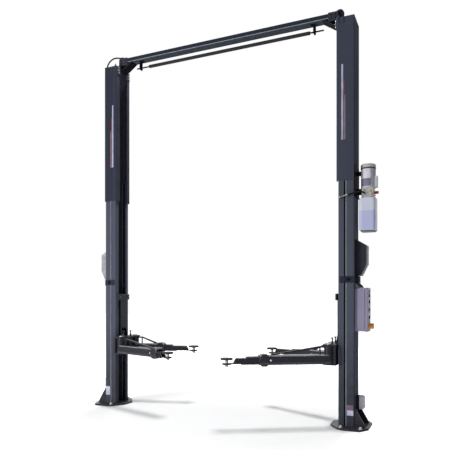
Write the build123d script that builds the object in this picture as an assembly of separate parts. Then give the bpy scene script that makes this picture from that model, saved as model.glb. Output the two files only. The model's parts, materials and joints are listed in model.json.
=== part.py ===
from build123d import *
from math import cos, pi, radians, sin, tan
import os

# Two post car lift, millimetres, Z up, origin on the floor midway between the columns.
# +X is the side of the power unit, -Y is the side that a car drives in from.

# Columns: C-shaped sheet posts, open to the inside
clear_width = 2788
column_depth = 163
column_half_width = 136
column_wall = 6
column_lip = 60
column_height = 2830
joggle_depth = 8
joggle_start = 66
joggle_run = 10
column_bend = 14
column_back_bend = 10

# Extensions: wider C-shaped sleeves on top of the columns
extension_wall = 4
extension_bottom = 2560
extension_top = 4250
extension_lead = 19
sleeve_gap = 0.3
extension_bend = 14
extension_back_bend = 8
ear_height = 26
ear_top_width = 6
ear_foot_width = 22

# Base plates
base_inner_reach = 94
base_outer_reach = 143
base_half_width = 245
base_thickness = 20
base_nose_half_width = 85
base_flare_length = 95
base_flare_drop = 30
base_shoulder_length = 150
base_outer_cut_length = 70
base_outer_cut_width = 110
gusset_height = 180
gusset_reach = 112
gusset_thickness = 12
gusset_spacing = 220
gusset_nose = 14
anchor_hole_radius = 11
anchor_spacing_y = 380
anchor_spacing_x = 200
anchor_shift_x = 30

# Crossbeam and its end brackets
beam_rise = 105
beam_height = 50
beam_half_width = 60
beam_wall = 4
beam_bend = 8
bracket_plate = 6
side_plate_reach = 103
side_plate_rise = 8
side_plate_drop = 37
brace_reach = 170
brace_drop = 110
brace_thickness = 12
end_plate_half_width = 128
end_plate_shoulder_drop = 20
end_plate_foot_drop = 110
top_pulley_radius = 45
top_pulley_width = 30
top_pulley_lead = 10
top_pulley_gap = 4
groove_depth = 8
groove_half_width = 10
pulley_cheek_radius = 40
cheek_thickness = 8
cheek_gap = 1
pin_radius = 12

# Overhead shut-off bar with its padded sleeve
bar_radius = 8
bar_drop = 83
bar_left_end = -1167
bar_right_end = 1212
foam_radius = 19
foam_left_end = -985
foam_right_end = 1060
hanger_setback = 287
hanger_half_width = 22
hanger_thickness = 5
hanger_margin = 26
hanger_tab = 40
bar_hole_gap = 0.1
bar_slot_length = 34

# Strap bands with the bracket behind them, and the covers of the safety latches
band_bottom = 1500
band_height = 70
band_thickness = 3
band_box_half_width = 60
band_box_reach = 35
band_box_corner = 12
cover_gap = 5
cover_half_width = 62
cover_height = 383
cover_reach = 120
cover_shoulder_drop = 73
cover_waist_rise = 125
cover_foot_reach = 58
cover_wall = 2
cover_corner = 10

# Control box
box_drop = 500
box_height = 445
box_front = -92
box_width = 190
box_depth = 106
lid_depth = 24
lid_lap = 4
box_corner = 8
button_radius = 13
button_length = 12
button_collar_radius = 17
button_collar_length = 4
button_rises = [408, 366, 304, 222, 141]
stop_rise = 52
stop_plate_radius = 40
stop_plate_length = 8
stop_stem_radius = 13
stop_stem_length = 18
stop_head_radius = 30
stop_head_length = 22
stop_head_edge = 5
tab_width = 53
tab_height = 52
tab_thickness = 3
tab_y = -60
cable_radius = 5
cable_y = -40
cable_start_x = 19
cable_end_x = 68
gland_radius = 9
cable_gland_height = 12

# Power unit
power_standoff = 123
motor_radius = 74
motor_bottom = 2480
motor_height = 244
motor_cap_height = 46
motor_cap_extra = 3
motor_cap_edge = 8
motor_fin_depth = 4
motor_fin_width = 3
motor_fin_count = 36
motor_foot_height = 23
vent_count = 8
vent_width = 6
vent_depth = 3
vent_inner = 18
terminal_half_width = 34
terminal_reach = 20
terminal_height = 112
terminal_rise = 62
block_height = 94
block_half_width = 62
block_corner = 8
port_radius = 13
port_length = 8
blank_port_lead = 30
tank_width_x = 164
tank_width_y = 180
tank_height = 354
tank_corner = 28
tank_neck = 12
cap_radius = 24
cap_height = 10
knob_radius = 15
knob_length = 42
knob_edge = 4
power_bracket_bottom = 2395
power_bracket_height = 320
power_bracket_half_width = 62
power_bracket_thickness = 8
power_plate_half_width = 125
console_rise = 35
console_height = 42
buffer_rise = 225
buffer_height = 40
buffer_half_width = 22
buffer_gap = 0.5

# Foot pulley brackets on the outer faces
foot_bracket_bottom = 186
foot_bracket_height = 139
foot_bracket_reach = 85
foot_bracket_corner = 20
foot_bracket_half_width = 26
foot_bracket_thickness = 5
foot_pulley_width = 18
foot_pulley_gap = 2
foot_pin_setback = 38
foot_pin_radius = 7.5
foot_groove_depth = 4
foot_groove_half_width = 5

# Lift cylinders: a rod that stands on the base and a barrel that travels
cylinder_setback = 103
rod_radius = 22.5
rod_top = 2080
rod_foot_radius = 38
rod_foot_height = 25
piston_height = 40
piston_gap = 1
barrel_radius = 37.5
barrel_wall = 6
barrel_rise = 52
barrel_length = 2050
gland_height = 30
gland_gap = 1
barrel_flange_radius = 43
barrel_flange_height = 12

# Carriages, drawn at the height that the photograph shows
carriage_bottom = 648
carriage_height = 672
carriage_front_gap = 12
carriage_plate = 10
carriage_side_reach = 104
carriage_back_gap = 11
yoke_thickness = 15
yoke_inset = 40
neck_half_width = 62
neck_reach = 22
neck_foot_reach = 42
neck_foot_height = 100
core_half_width = 46
core_reach = 130
clevis_reach = 154
clevis_back_gap = 10
clevis_plate = 15
clevis_gap = 1
clevis_corner = 38
cheek_reach = 36
cheek_half_width = 202
cheek_plate = 12
cheek_corner = 20
pivot_reach = 94
pivot_spacing = 300
pivot_pin_radius = 20
pivot_pin_gap = 0.1
pivot_head_radius = 50
pin_head_radius = 27
pin_head_height = 10
slide_pad_length = 110
slide_pad_gap = 0.5
slide_pad_clear = 4
front_pad_width = 24

# Arm locks: toothed sectors on the arm heads and the toothed pins above them, drawn lifted
lock_rod_radius = 7
lock_rod_height = 54
lock_rod_setback = 20
lock_rod_spacing = 150
lock_spring_radius = 13
lock_spring_height = 20
lock_grip_radius = 12
lock_grip_height = 12
lock_gear_radius = 56
lock_tooth_depth = 5
lock_tooth_pitch = 10
lock_tooth_count = 15
lock_gear_top_drop = 36
lock_gear_thickness = 16
lock_pinion_radius = 21
lock_pinion_height = 22
lock_pinion_teeth = 12
lock_pinion_drop = 4
lock_sector_turn = 30

# Door guards
guard_half_width = 108
guard_height = 70
guard_thickness = 15
guard_corner = 7
guard_back_height = 55

# Arms: three telescopic stages, all of them on one level
arm_bottom = 657
arm_height = 100
arm_half_width = 50
arm_wall = 6
arm_corner = 14
front_arm_length = 740
rear_arm_length = 400
collar_length = 108
collar_slant = 24
collar_side = 8
collar_rise = 12
head_bottom = 664
head_height = 182
head_notch = 70
tie_thickness = 18
tie_half_width = 9
tie_inset = 2
tie_level_reach = 100
strut_thickness = 12
front_tie_reach = 610
rear_tie_reach = 300
stage_floor_gap = 0.3
stage_side_gap = 2
middle_height = 82
middle_wall = 6
middle_corner = 6
middle_nose = 40
middle_slant = 65
front_middle_length = 480
rear_middle_length = 360
inner_height = 61
inner_wall = 7
inner_corner = 5
inner_nose = 78
inner_slant = 30
front_inner_length = 420
rear_inner_length = 340
eye_radius = 46
eye_height = 17
eye_drop = 7
body_clear = 5

# Lifting pads on screws
pad_radius = 64
pad_thickness = 19
pad_edge = 4
pad_hub_radius = 20
pad_groove_width = 8
pad_groove_depth = 3
pad_cone_height = 7
pad_cone_radius = 30
screw_radius = 18
screw_gap = 0.1
screw_tail = 6
pad_screw_travel = 44
pad_seat_gap = 1

# Hydraulic hoses
hose_radius = 8.5
line_radius = 6
ferrule_radius = 11
ferrule_length = 20
union_size = 20
union_length = 38
bend_share = 0.45
bridge_start_setback = 274
bridge_y = 30
bridge_down_y = 110
bridge_down_gap = 11
bridge_union_drop = 125
pressure_y = 158
pressure_pipe_setback = 18
pressure_pipe_z = 2382
pressure_hose_setback = 101
pressure_hose_z = 2403
hose_port_lead = 30
port_z = 2425

# Rest places of the four arms, as the photograph shows them
front_right_rest = dict(swing=29.7, middle_out=145, inner_out=67, pad_up=26)
rear_right_rest = dict(swing=23.8, middle_out=211, inner_out=211, pad_up=26)
front_left_rest = dict(swing=18.6, middle_out=9, inner_out=9, pad_up=26)
rear_left_rest = dict(swing=16.6, middle_out=110, inner_out=144, pad_up=26)

# Values that follow from the driving ones
column_face = clear_width / 2
column_back = column_face + column_depth
hanger_offset = column_face - hanger_setback
bridge_start_x = column_face - bridge_start_setback
bridge_down_x = column_back - bridge_down_gap
bridge_union_top = extension_top - bridge_union_drop
pressure_pipe_x = column_face + pressure_pipe_setback
pressure_hose_x = column_face + pressure_hose_setback
pivot_x = column_face - pivot_reach
cylinder_x = column_face + cylinder_setback
beam_top = extension_top + beam_rise
beam_bottom = beam_top - beam_height
bar_height = beam_bottom - bar_drop
extension_face = column_face - extension_lead
band_top = band_bottom + band_height
cover_bottom = band_top + cover_gap
cover_top = cover_bottom + cover_height
box_bottom = band_bottom - box_drop
box_top = box_bottom + box_height
power_x = column_back + power_standoff
block_bottom = motor_bottom - block_height
tank_bottom = block_bottom - tank_height
barrel_bottom = carriage_bottom + barrel_rise
barrel_top = barrel_bottom + barrel_length
carriage_top = carriage_bottom + carriage_height
guard_bottom = carriage_top
arm_top = arm_bottom + arm_height
head_top = head_bottom + head_height
clevis_low = head_bottom - clevis_gap - clevis_plate
clevis_top = head_top + clevis_gap + clevis_plate
inner_bottom = arm_bottom + arm_wall + middle_wall + 2 * stage_floor_gap
lock_rod_x = pivot_x + lock_rod_setback


def block(x0, x1, y0, y1, z0, z1):
    """A box between two corners."""
    center = ((x0 + x1) / 2, (y0 + y1) / 2, (z0 + z1) / 2)
    return Pos(*center) * Box(x1 - x0, y1 - y0, z1 - z0)


def prism(points, plane, depth, both=False):
    """An extruded outline on a named plane."""
    face = make_face(Polyline(*points, close=True))
    return extrude(plane * face, depth, both=both)


def sheet_y(points, y, thickness):
    """A plate of a side view outline, centred on one Y."""
    return prism(points, Plane.XZ.offset(-y), thickness / 2, both=True)


def upright(radius, x, y, z0, z1):
    """A vertical round bar."""
    return Pos(x, y, (z0 + z1) / 2) * Cylinder(radius, z1 - z0)


def along_x(radius, x0, x1, y, z):
    """A round bar along X."""
    return Pos((x0 + x1) / 2, y, z) * Rot(0, 90, 0) * Cylinder(radius, x1 - x0)


def along_y(radius, x, y0, y1, z):
    """A round bar along Y."""
    return Pos(x, (y0 + y1) / 2, z) * Rot(90, 0, 0) * Cylinder(radius, y1 - y0)


def tube(x0, x1, half, z0, z1, wall, corner):
    """A hollow rectangular tube along X with rounded edges, open at both ends."""
    plane = Plane(origin=(x0, 0, (z0 + z1) / 2), x_dir=(0, 1, 0), z_dir=(1, 0, 0))
    section = RectangleRounded(2 * half, z1 - z0, corner)
    section -= Rectangle(2 * (half - wall), z1 - z0 - 2 * wall)
    return extrude(plane * section, x1 - x0)


def grooved_wheel(radius, width, depth, half_groove, x, z):
    """A pulley wheel along Y with a V-shaped rope groove."""
    half = width / 2
    profile = [
        (0, -half),
        (radius, -half),
        (radius, -half_groove),
        (radius - depth, 0),
        (radius, half_groove),
        (radius, half),
        (0, half),
    ]
    face = make_face(Polyline(*profile, close=True))
    wheel = revolve(face, Axis.Y)
    return Pos(x, 0, z) * wheel


def toothed_outline(radius, depth, pitch, start, count):
    """Points of straight-sided teeth on a circle, from a start angle in degrees."""
    points = []
    for index in range(count):
        for share, level in ((0.1, radius - depth), (0.35, radius), (0.65, radius), (0.9, radius - depth)):
            angle = radians(start + (index + share) * pitch)
            points.append((level * cos(angle), level * sin(angle)))
    return points


def corner_edges(shape, x, y):
    """Upright edges at one X, on both sides of the middle."""
    return shape.edges().filter_by(
        lambda edge: abs(edge.center().X - x) < 0.01
        and abs(abs(edge.center().Y) - y) < 0.01
        and abs(edge.tangent_at(0).Z) > 0.99
    )


def bar_between(radius, start, end):
    """A round bar from one point to another."""
    path = Vector(*end) - Vector(*start)
    return extrude(Plane(origin=start, z_dir=path) * Circle(radius), path.length)


def hose(points, radius):
    """A round hose: straight runs joined by tangent arcs, each as large as its runs allow."""
    corners = [Vector(*point) for point in points]
    runs = [end - start for start, end in zip(corners, corners[1:])]
    bends = []
    for first, second in zip(runs, runs[1:]):
        half_turn = radians(first.get_angle(second) / 2)
        bends.append(bend_share * min(first.length, second.length) / tan(half_turn))
    print("hose bend radii, mm:", [round(bend) for bend in bends])
    route = FilletPolyline(*corners, radius=bends)
    print("hose length, mm:", round(route.length), "volume, mm3:", round(route.length * pi * radius**2))
    return sweep(Plane(origin=corners[0], z_dir=runs[0]) * Circle(radius), path=route)


def other_side(shape):
    """The same piece on the other column."""
    return mirror(shape, about=Plane.YZ)


def save(name, *solids):
    """Write one node."""
    shape = solids[0] if len(solids) == 1 else Compound(children=list(solids))
    export_step(shape, f"parts/{name}.step")


def column():
    outer = column_half_width
    step_x = column_face + joggle_start
    half = [
        (column_face, outer - column_lip),
        (column_face, outer),
        (step_x, outer),
        (step_x + joggle_run, outer - joggle_depth),
        (column_back, outer - joggle_depth),
        (column_back, 0),
        (column_back - column_wall, 0),
        (column_back - column_wall, outer - joggle_depth - column_wall),
        (step_x + joggle_run, outer - joggle_depth - column_wall),
        (step_x, outer - column_wall),
        (column_face + column_wall, outer - column_wall),
        (column_face + column_wall, outer - column_lip),
    ]
    body = prism(half, Plane.XY.offset(base_thickness), column_height - base_thickness)
    body += mirror(body, about=Plane.XZ)
    wall = column_wall
    body = fillet(corner_edges(body, column_face + wall, outer - wall), column_bend - wall)
    body = fillet(corner_edges(body, column_face, outer), column_bend)
    return fillet(corner_edges(body, column_back, outer - joggle_depth), column_back_bend)


def extension():
    inner = column_half_width + sleeve_gap
    outer = inner + extension_wall
    back = column_back + extension_wall
    half = [
        (extension_face, column_half_width - column_lip),
        (extension_face, outer),
        (back, outer),
        (back, 0),
        (column_back, 0),
        (column_back, inner),
        (extension_face + extension_wall, inner),
        (extension_face + extension_wall, column_half_width - column_lip),
    ]
    height = extension_top - extension_bottom
    body = prism(half, Plane.XY.offset(extension_bottom), height)
    body += mirror(body, about=Plane.XZ)
    wall = extension_wall
    body = fillet(corner_edges(body, extension_face + wall, inner), extension_bend - wall)
    body = fillet(corner_edges(body, extension_face, outer), extension_bend)
    body = fillet(corner_edges(body, back, outer), extension_back_bend)
    # Low ears beside the beam, on the edge of both side walls
    ear_x = extension_face + extension_bend
    ear = [
        (ear_x, extension_top),
        (ear_x, extension_top + ear_height),
        (ear_x + ear_top_width, extension_top + ear_height),
        (ear_x + ear_foot_width, extension_top),
    ]
    for side_y in (-1, 1):
        body += sheet_y(ear, side_y * (inner + outer) / 2, wall)
    return body


def base_plate():
    x0 = column_face - base_inner_reach
    x1 = column_back + base_outer_reach
    y = base_half_width
    half = [
        (x0, 0),
        (x0, base_nose_half_width),
        (x0 + base_flare_length, y - base_flare_drop),
        (x0 + base_shoulder_length, y),
        (x1 - base_outer_cut_length, y),
        (x1, y - base_outer_cut_width),
        (x1, 0),
    ]
    plate = prism(half, Plane.XY, base_thickness)
    plate += mirror(plate, about=Plane.XZ)
    for side_x in (-1, 1):
        for side_y in (-1, 1):
            x = (x0 + x1) / 2 + anchor_shift_x + side_x * anchor_spacing_x / 2
            y_hole = side_y * anchor_spacing_y / 2
            plate -= upright(anchor_hole_radius, x, y_hole, -1, base_thickness + 1)
    rib = [
        (column_back, base_thickness),
        (column_back + gusset_reach, base_thickness),
        (column_back + gusset_reach, base_thickness + gusset_nose),
        (column_back + gusset_nose, base_thickness + gusset_height),
        (column_back, base_thickness + gusset_height),
    ]
    for side_y in (-1, 1):
        plate += sheet_y(rib, side_y * gusset_spacing / 2, gusset_thickness)
    return plate


def pulley_axis():
    """X and Z of the rope pulley at the right end of the beam."""
    floor = beam_bottom + beam_wall
    return extension_face + top_pulley_lead, floor + top_pulley_gap + top_pulley_radius


def crossbeam():
    """A wide channel, open at the top, with the cheeks of the rope pulleys on its floor."""
    y = beam_half_width
    wall = beam_wall
    floor = beam_bottom + wall
    outline = [
        (-y, beam_top),
        (-y, beam_bottom),
        (y, beam_bottom),
        (y, beam_top),
        (y - wall, beam_top),
        (y - wall, floor),
        (-y + wall, floor),
        (-y + wall, beam_top),
    ]
    beam = prism(outline, Plane.YZ, extension_face, both=True)
    beam = fillet(beam.edges().filter_by(Axis.X).group_by(Axis.Z)[0], beam_bend)
    x, z = pulley_axis()
    radius = pulley_cheek_radius
    cheek = block(x - radius, x + radius, 0, cheek_thickness, floor, z)
    cheek += along_y(radius, x, 0, cheek_thickness, z)
    cheek -= along_y(pin_radius, x, -1, cheek_thickness + 1, z)
    cheek = Pos(0, top_pulley_width / 2 + cheek_gap, 0) * cheek
    pair = cheek + mirror(cheek, about=Plane.XZ)
    return beam + pair + other_side(pair)


def beam_bracket():
    """Side plates, sloped brace and end plate that tie the beam to the mouth of the extension."""
    face = extension_face
    t = bracket_plate
    y = beam_half_width
    low = beam_bottom - side_plate_drop
    top = beam_top + side_plate_rise
    side = block(face - side_plate_reach, face, y, y + t, low, top)
    brace = [
        (face - brace_reach, beam_bottom),
        (face - t, beam_bottom - brace_drop),
        (face - t, beam_bottom - brace_drop + brace_thickness),
        (face - brace_reach + brace_thickness, beam_bottom),
    ]
    # The end plate is bolted to the lips of the extension and carries the end of the beam
    foot = extension_top - end_plate_foot_drop
    shoulder = extension_top - end_plate_shoulder_drop
    half_end = [
        (0, foot),
        (end_plate_half_width, foot),
        (end_plate_half_width, shoulder),
        (y + t, beam_bottom),
        (0, beam_bottom),
    ]
    half_plate = prism(half_end, Plane.YZ.offset(face - t), t)
    half = side + half_plate + prism(brace, Plane.XZ, -y)
    return half + mirror(half, about=Plane.XZ)


def top_pulley():
    x, z = pulley_axis()
    wheel = grooved_wheel(top_pulley_radius, top_pulley_width, groove_depth, groove_half_width, x, z)
    pin_half = top_pulley_width / 2 + cheek_gap + cheek_thickness
    return wheel + along_y(pin_radius, x, -pin_half, pin_half, z)


def shutoff_hanger(slotted):
    x = hanger_offset
    end = x + hanger_thickness
    half = hanger_half_width
    hanger = block(x, end, -half, half, bar_height - hanger_margin, beam_bottom)
    hanger += block(x - hanger_tab, x, -half, half, beam_bottom - hanger_thickness, beam_bottom)
    hole_radius = bar_radius + bar_hole_gap
    hanger -= along_x(hole_radius, x - 1, end + 1, 0, bar_height)
    if slotted:
        top = bar_height + bar_slot_length
        hanger -= along_x(hole_radius, x - 1, end + 1, 0, top)
        hanger -= block(x - 1, end + 1, -hole_radius, hole_radius, bar_height, top)
    return hanger


def shutoff_bar():
    return along_x(bar_radius, bar_left_end, bar_right_end, 0, bar_height)


def bar_foam():
    sleeve = along_x(foam_radius, foam_left_end, foam_right_end, 0, bar_height)
    return sleeve - along_x(bar_radius, foam_left_end - 1, foam_right_end + 1, 0, bar_height)


def column_band():
    y = column_half_width
    t = band_thickness
    x0 = column_face + joggle_start + joggle_run
    y_in = y - joggle_depth
    back = column_back
    outline = [
        (column_face + column_bend, y),
        (column_face + column_bend, y + t),
        (x0 - joggle_run, y + t),
        (x0, y_in + t),
        (back + t, y_in + t),
        (back + t, 0),
        (back, 0),
        (back, y_in),
        (x0, y_in),
        (x0 - joggle_run, y),
    ]
    half = prism(outline, Plane.XY.offset(band_bottom), band_height)
    half_box = [
        (back + t, 0),
        (back + t, band_box_half_width),
        (back + band_box_reach - band_box_corner, band_box_half_width),
        (back + band_box_reach, band_box_half_width - band_box_corner),
        (back + band_box_reach, 0),
    ]
    half += prism(half_box, Plane.XY.offset(band_bottom), band_height)
    return half + mirror(half, about=Plane.XZ)


def lock_cover():
    back = column_back
    wall = cover_wall
    reach = back + cover_reach

    def outline(inset):
        return [
            (back, cover_bottom + inset),
            (back + cover_foot_reach - inset, cover_bottom + inset),
            (reach - inset, cover_bottom + cover_waist_rise),
            (reach - inset, cover_top - cover_shoulder_drop - inset / 2),
            (back, cover_top - inset),
        ]

    solid = prism(outline(0), Plane.XZ, cover_half_width, both=True)
    solid = chamfer(solid.edges().filter_by(Axis.Z), cover_corner)
    return solid - prism(outline(wall), Plane.XZ, cover_half_width - cover_corner, both=True)


def control_box():
    """The body of the box, with the three-cornered tab and the cable gland on its roof."""
    x0 = column_back
    body = block(x0, x0 + box_depth, box_front, box_front + box_width, box_bottom, box_top)
    body = fillet(body.edges().filter_by(Axis.X), box_corner)
    tab = [(x0, box_top), (x0 + tab_width, box_top), (x0, box_top + tab_height)]
    body += sheet_y(tab, tab_y, tab_thickness)
    return body + upright(gland_radius, x0 + cable_end_x, cable_y, box_top, box_top + cable_gland_height)


def control_cable():
    x0 = column_back
    top = box_top + cable_gland_height
    drop = band_bottom - top
    route = [
        (x0 + cable_start_x, cable_y, band_bottom),
        (x0 + cable_start_x, cable_y, band_bottom - drop * 0.3),
        (x0 + cable_end_x - 26, cable_y - 2, top + drop * 0.48),
        (x0 + cable_end_x, cable_y, top + drop * 0.36),
        (x0 + cable_end_x, cable_y, top),
    ]
    return hose(route, cable_radius)


def control_box_lid():
    x0 = column_back + box_depth
    lap = lid_lap
    y0 = box_front - lap
    y1 = box_front + box_width + lap
    lid = block(x0, x0 + lid_depth, y0, y1, box_bottom - lap, box_top + lap)
    lid = fillet(lid.edges().filter_by(Axis.X), box_corner + lap)
    return chamfer(lid.faces().sort_by(Axis.X)[-1].edges(), lap)


def push_buttons():
    x = column_back + box_depth + lid_depth
    y = box_front + box_width / 2
    made = []
    for rise in button_rises:
        z = box_bottom + rise
        collar = along_x(button_collar_radius, x, x + button_collar_length, y, z)
        made.append(collar + along_x(button_radius, x, x + button_length, y, z))
    return made


def emergency_stop():
    x = column_back + box_depth + lid_depth
    y = box_front + box_width / 2
    z = box_bottom + stop_rise
    stem_end = x + stop_plate_length + stop_stem_length
    plate = along_x(stop_plate_radius, x, x + stop_plate_length, y, z)
    stem = along_x(stop_stem_radius, x, stem_end, y, z)
    head = along_x(stop_head_radius, stem_end, stem_end + stop_head_length, y, z)
    head = chamfer(head.edges().sort_by(Axis.X)[-1], stop_head_edge)
    return plate + stem + head


def power_bracket():
    """Wall plate with the console of the pump block and the buffer of the motor."""
    half = power_bracket_half_width
    wide = power_plate_half_width
    t = power_bracket_thickness
    z0 = power_bracket_bottom
    z1 = z0 + power_bracket_height
    start = column_back
    end_x = power_x - block_half_width
    low = z0 + console_rise
    bracket = block(start, start + t, -wide, wide, z0, z1)
    bracket += block(start, end_x, -half, half, low, low + console_height)
    bracket -= block(start + t, end_x - t, -half + t, half - t, low - 1, low + console_height - t)
    buffer_end = power_x - motor_radius - buffer_gap
    low = z0 + buffer_rise
    bracket += block(start, buffer_end, -buffer_half_width, buffer_half_width, low, low + buffer_height)
    # The part that lies on the extension stands off by the wall of the extension
    step = block(start - 1, start + extension_wall, -wide - 1, wide + 1, extension_bottom - sleeve_gap, z1 + 1)
    return bracket - step


def motor():
    """Finned housing with a plain foot and a terminal box on the side away from the column."""
    core = motor_radius - motor_fin_depth
    fin_top = motor_bottom + motor_height - motor_cap_height
    fin_low = motor_bottom + motor_foot_height
    pitch = 360 / motor_fin_count
    half_tooth = motor_fin_width / motor_radius * 180 / pi / 2
    points = []
    for index in range(motor_fin_count):
        for turn, level in ((-half_tooth, core), (-half_tooth, motor_radius), (half_tooth, motor_radius),
                            (half_tooth, core)):
            angle = radians(index * pitch + turn)
            points.append((level * cos(angle), level * sin(angle)))
    place = Pos(power_x, 0, fin_low)
    body = place * prism(points, Plane.XY, fin_top - fin_low)
    body += upright(motor_radius, power_x, 0, motor_bottom, fin_low)
    body += upright(core, power_x, 0, fin_top, motor_bottom + motor_height)
    half = terminal_half_width
    box_end = power_x + motor_radius + terminal_reach
    low = motor_bottom + terminal_rise - terminal_height / 2
    terminal = block(power_x, box_end, -half, half, low, low + terminal_height)
    return body + chamfer(terminal.edges().filter_by(Axis.Z), motor_fin_depth)


def motor_cowl():
    z1 = motor_bottom + motor_height
    z0 = z1 - motor_cap_height
    top = z1 + motor_cap_extra
    cap = upright(motor_radius + motor_cap_extra, power_x, 0, z0, top)
    cap = chamfer(cap.edges().sort_by(Axis.Z)[-1], motor_cap_edge)
    slot_end = motor_radius - 2 * motor_cap_edge
    for index in range(vent_count):
        slot = block(vent_inner, slot_end, -vent_width / 2, vent_width / 2, top - vent_depth, top + 1)
        cap -= Pos(power_x, 0, 0) * Rot(0, 0, 360 / vent_count * index) * slot
    return cap - upright(motor_radius - motor_fin_depth, power_x, 0, z0 - 1, z1)


def pump_block():
    """Manifold block with its blank port on the face towards the drive-in side."""
    half = block_half_width
    top = block_bottom + block_height
    body = block(power_x - half, power_x + half, -half, half, block_bottom, top)
    body = chamfer(body.edges().filter_by(Axis.Z), block_corner)
    port_end = -half - port_length
    return body + along_y(port_radius, power_x + blank_port_lead, port_end, -half, port_z)


def relief_knob():
    x0 = power_x + block_half_width
    z = block_bottom + block_height / 2
    knob = along_x(knob_radius, x0, x0 + knob_length, 0, z)
    return chamfer(knob.edges().sort_by(Axis.X)[-1], knob_edge)


def oil_tank():
    half_x = tank_width_x / 2
    half_y = tank_width_y / 2
    top = block_bottom - tank_neck
    shape = block(power_x - half_x, power_x + half_x, -half_y, half_y, tank_bottom, top)
    shape = fillet(shape.edges().filter_by(Axis.Z), tank_corner)
    shape = chamfer(shape.faces().sort_by(Axis.Z)[0].edges(), tank_corner / 2)
    shape += upright(block_half_width, power_x, 0, top, block_bottom)
    cap_y = half_y - cap_radius - tank_neck / 2
    cap_x = power_x + half_x - cap_radius - tank_neck / 2
    return shape + upright(cap_radius, cap_x, cap_y, top, top + cap_height)


def foot_bracket():
    x0 = column_back
    x1 = x0 + foot_bracket_reach
    half = foot_bracket_half_width
    t = foot_bracket_thickness
    z0 = foot_bracket_bottom
    z1 = z0 + foot_bracket_height
    shape = block(x0, x1, -half, half, z0, z1) - block(x0 + t, x1 + 1, -half + t, half - t, z0 - 1, z1 + 1)
    shape = fillet(shape.edges().filter_by(Axis.Y).group_by(Axis.X)[-1], foot_bracket_corner)
    return shape - along_y(foot_pin_radius, x1 - foot_pin_setback, -half - 1, half + 1, (z0 + z1) / 2)


def foot_pulley():
    x_axis = column_back + foot_bracket_reach - foot_pin_setback
    z_axis = foot_bracket_bottom + foot_bracket_height / 2
    radius = foot_bracket_reach - foot_pin_setback - foot_bracket_thickness - foot_pulley_gap
    wheel = grooved_wheel(radius, foot_pulley_width, foot_groove_depth, foot_groove_half_width, x_axis, z_axis)
    pin_half = foot_bracket_half_width
    return wheel + along_y(foot_pin_radius, x_axis, -pin_half, pin_half, z_axis)


def piston_rod():
    x = cylinder_x
    rod = upright(rod_radius, x, 0, base_thickness, rod_top)
    rod += upright(rod_foot_radius, x, 0, base_thickness, base_thickness + rod_foot_height)
    piston = barrel_radius - barrel_wall - piston_gap
    return rod + upright(piston, x, 0, rod_top - piston_height, rod_top)


def cylinder_barrel():
    x = cylinder_x
    bore = barrel_radius - barrel_wall
    flange_top = carriage_top - yoke_inset
    body = upright(barrel_radius, x, 0, barrel_bottom, barrel_top)
    body += upright(barrel_flange_radius, x, 0, flange_top - barrel_flange_height, flange_top)
    body -= upright(bore, x, 0, barrel_bottom + gland_height, barrel_top - barrel_wall)
    return body - upright(rod_radius + gland_gap, x, 0, barrel_bottom - 1, barrel_bottom + gland_height + 1)


def carriage_slide():
    """The part inside the column, which the slide pads guide, with its neck through the mouth."""
    inside = column_face + column_wall + carriage_front_gap
    back = column_back - column_wall - carriage_back_gap
    t = carriage_plate
    side = carriage_side_reach
    low = carriage_bottom
    top = carriage_top
    neck_x = column_face - neck_reach
    body = block(inside, inside + t, -side, side, low, top)
    neck = [
        (inside, clevis_top),
        (column_face - neck_foot_reach, clevis_top),
        (neck_x, clevis_top + neck_foot_height),
        (neck_x, top),
        (inside, top),
    ]
    core_x = column_face - core_reach
    for side_y in (-1, 1):
        y0, y1 = sorted((side_y * side, side_y * (side - t)))
        body += block(inside, back, y0, y1, low, top)
        body += sheet_y(neck, side_y * (neck_half_width - t / 2), t)
        core_y = sorted((side_y * core_half_width, side_y * (core_half_width - t)))
        body += block(core_x, inside, *core_y, low, clevis_top)
    body += block(core_x, core_x + t, -core_half_width, core_half_width, low, clevis_top)
    guard_back = guard_bottom + guard_back_height
    body += block(neck_x, neck_x + t, -neck_half_width, neck_half_width, clevis_top + neck_foot_height, guard_back)
    # Yoke plates round the barrel
    for z0 in (top - yoke_inset, barrel_bottom + yoke_inset):
        body += block(inside, back, -side, side, z0, z0 + yoke_thickness)
    return body - upright(barrel_radius + sleeve_gap, cylinder_x, 0, low - 1, top + 1)


def carriage():
    """The sliding part with the two clevis plates that hold the arm heads and their cheeks."""
    inside = column_face + column_wall + carriage_front_gap
    x0 = column_face - clevis_reach
    x1 = column_face - clevis_back_gap
    cheek_x = column_face - cheek_reach
    y_out = cheek_half_width
    body = carriage_slide()
    outline = [(x0, -y_out), (x1, -y_out), (x1, y_out), (x0, y_out)]
    for z0 in (clevis_low, clevis_top - clevis_plate):
        plate = prism(outline, Plane.XY.offset(z0), clevis_plate)
        plate = fillet(plate.edges().filter_by(Axis.Z).group_by(Axis.X)[0], clevis_corner)
        body += plate
        body += block(x1, inside, -neck_half_width, neck_half_width, z0, z0 + clevis_plate)
    for side_y in (-1, 1):
        y0, y1 = sorted((side_y * y_out, side_y * (y_out - cheek_plate)))
        cheek = block(cheek_x, x1, y0, y1, clevis_low, clevis_top)
        low_edge = cheek.edges().filter_by(Axis.Y).group_by(Axis.Z)[0].sort_by(Axis.X)[-1]
        body += chamfer(low_edge, cheek_corner)
        y = side_y * pivot_spacing / 2
        body -= upright(pivot_pin_radius, pivot_x, y, clevis_low - 1, clevis_top + 1)
        lock_y = side_y * lock_rod_spacing / 2
        body -= upright(lock_rod_radius, lock_rod_x, lock_y, head_top, clevis_top + 1)
    return body


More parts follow.
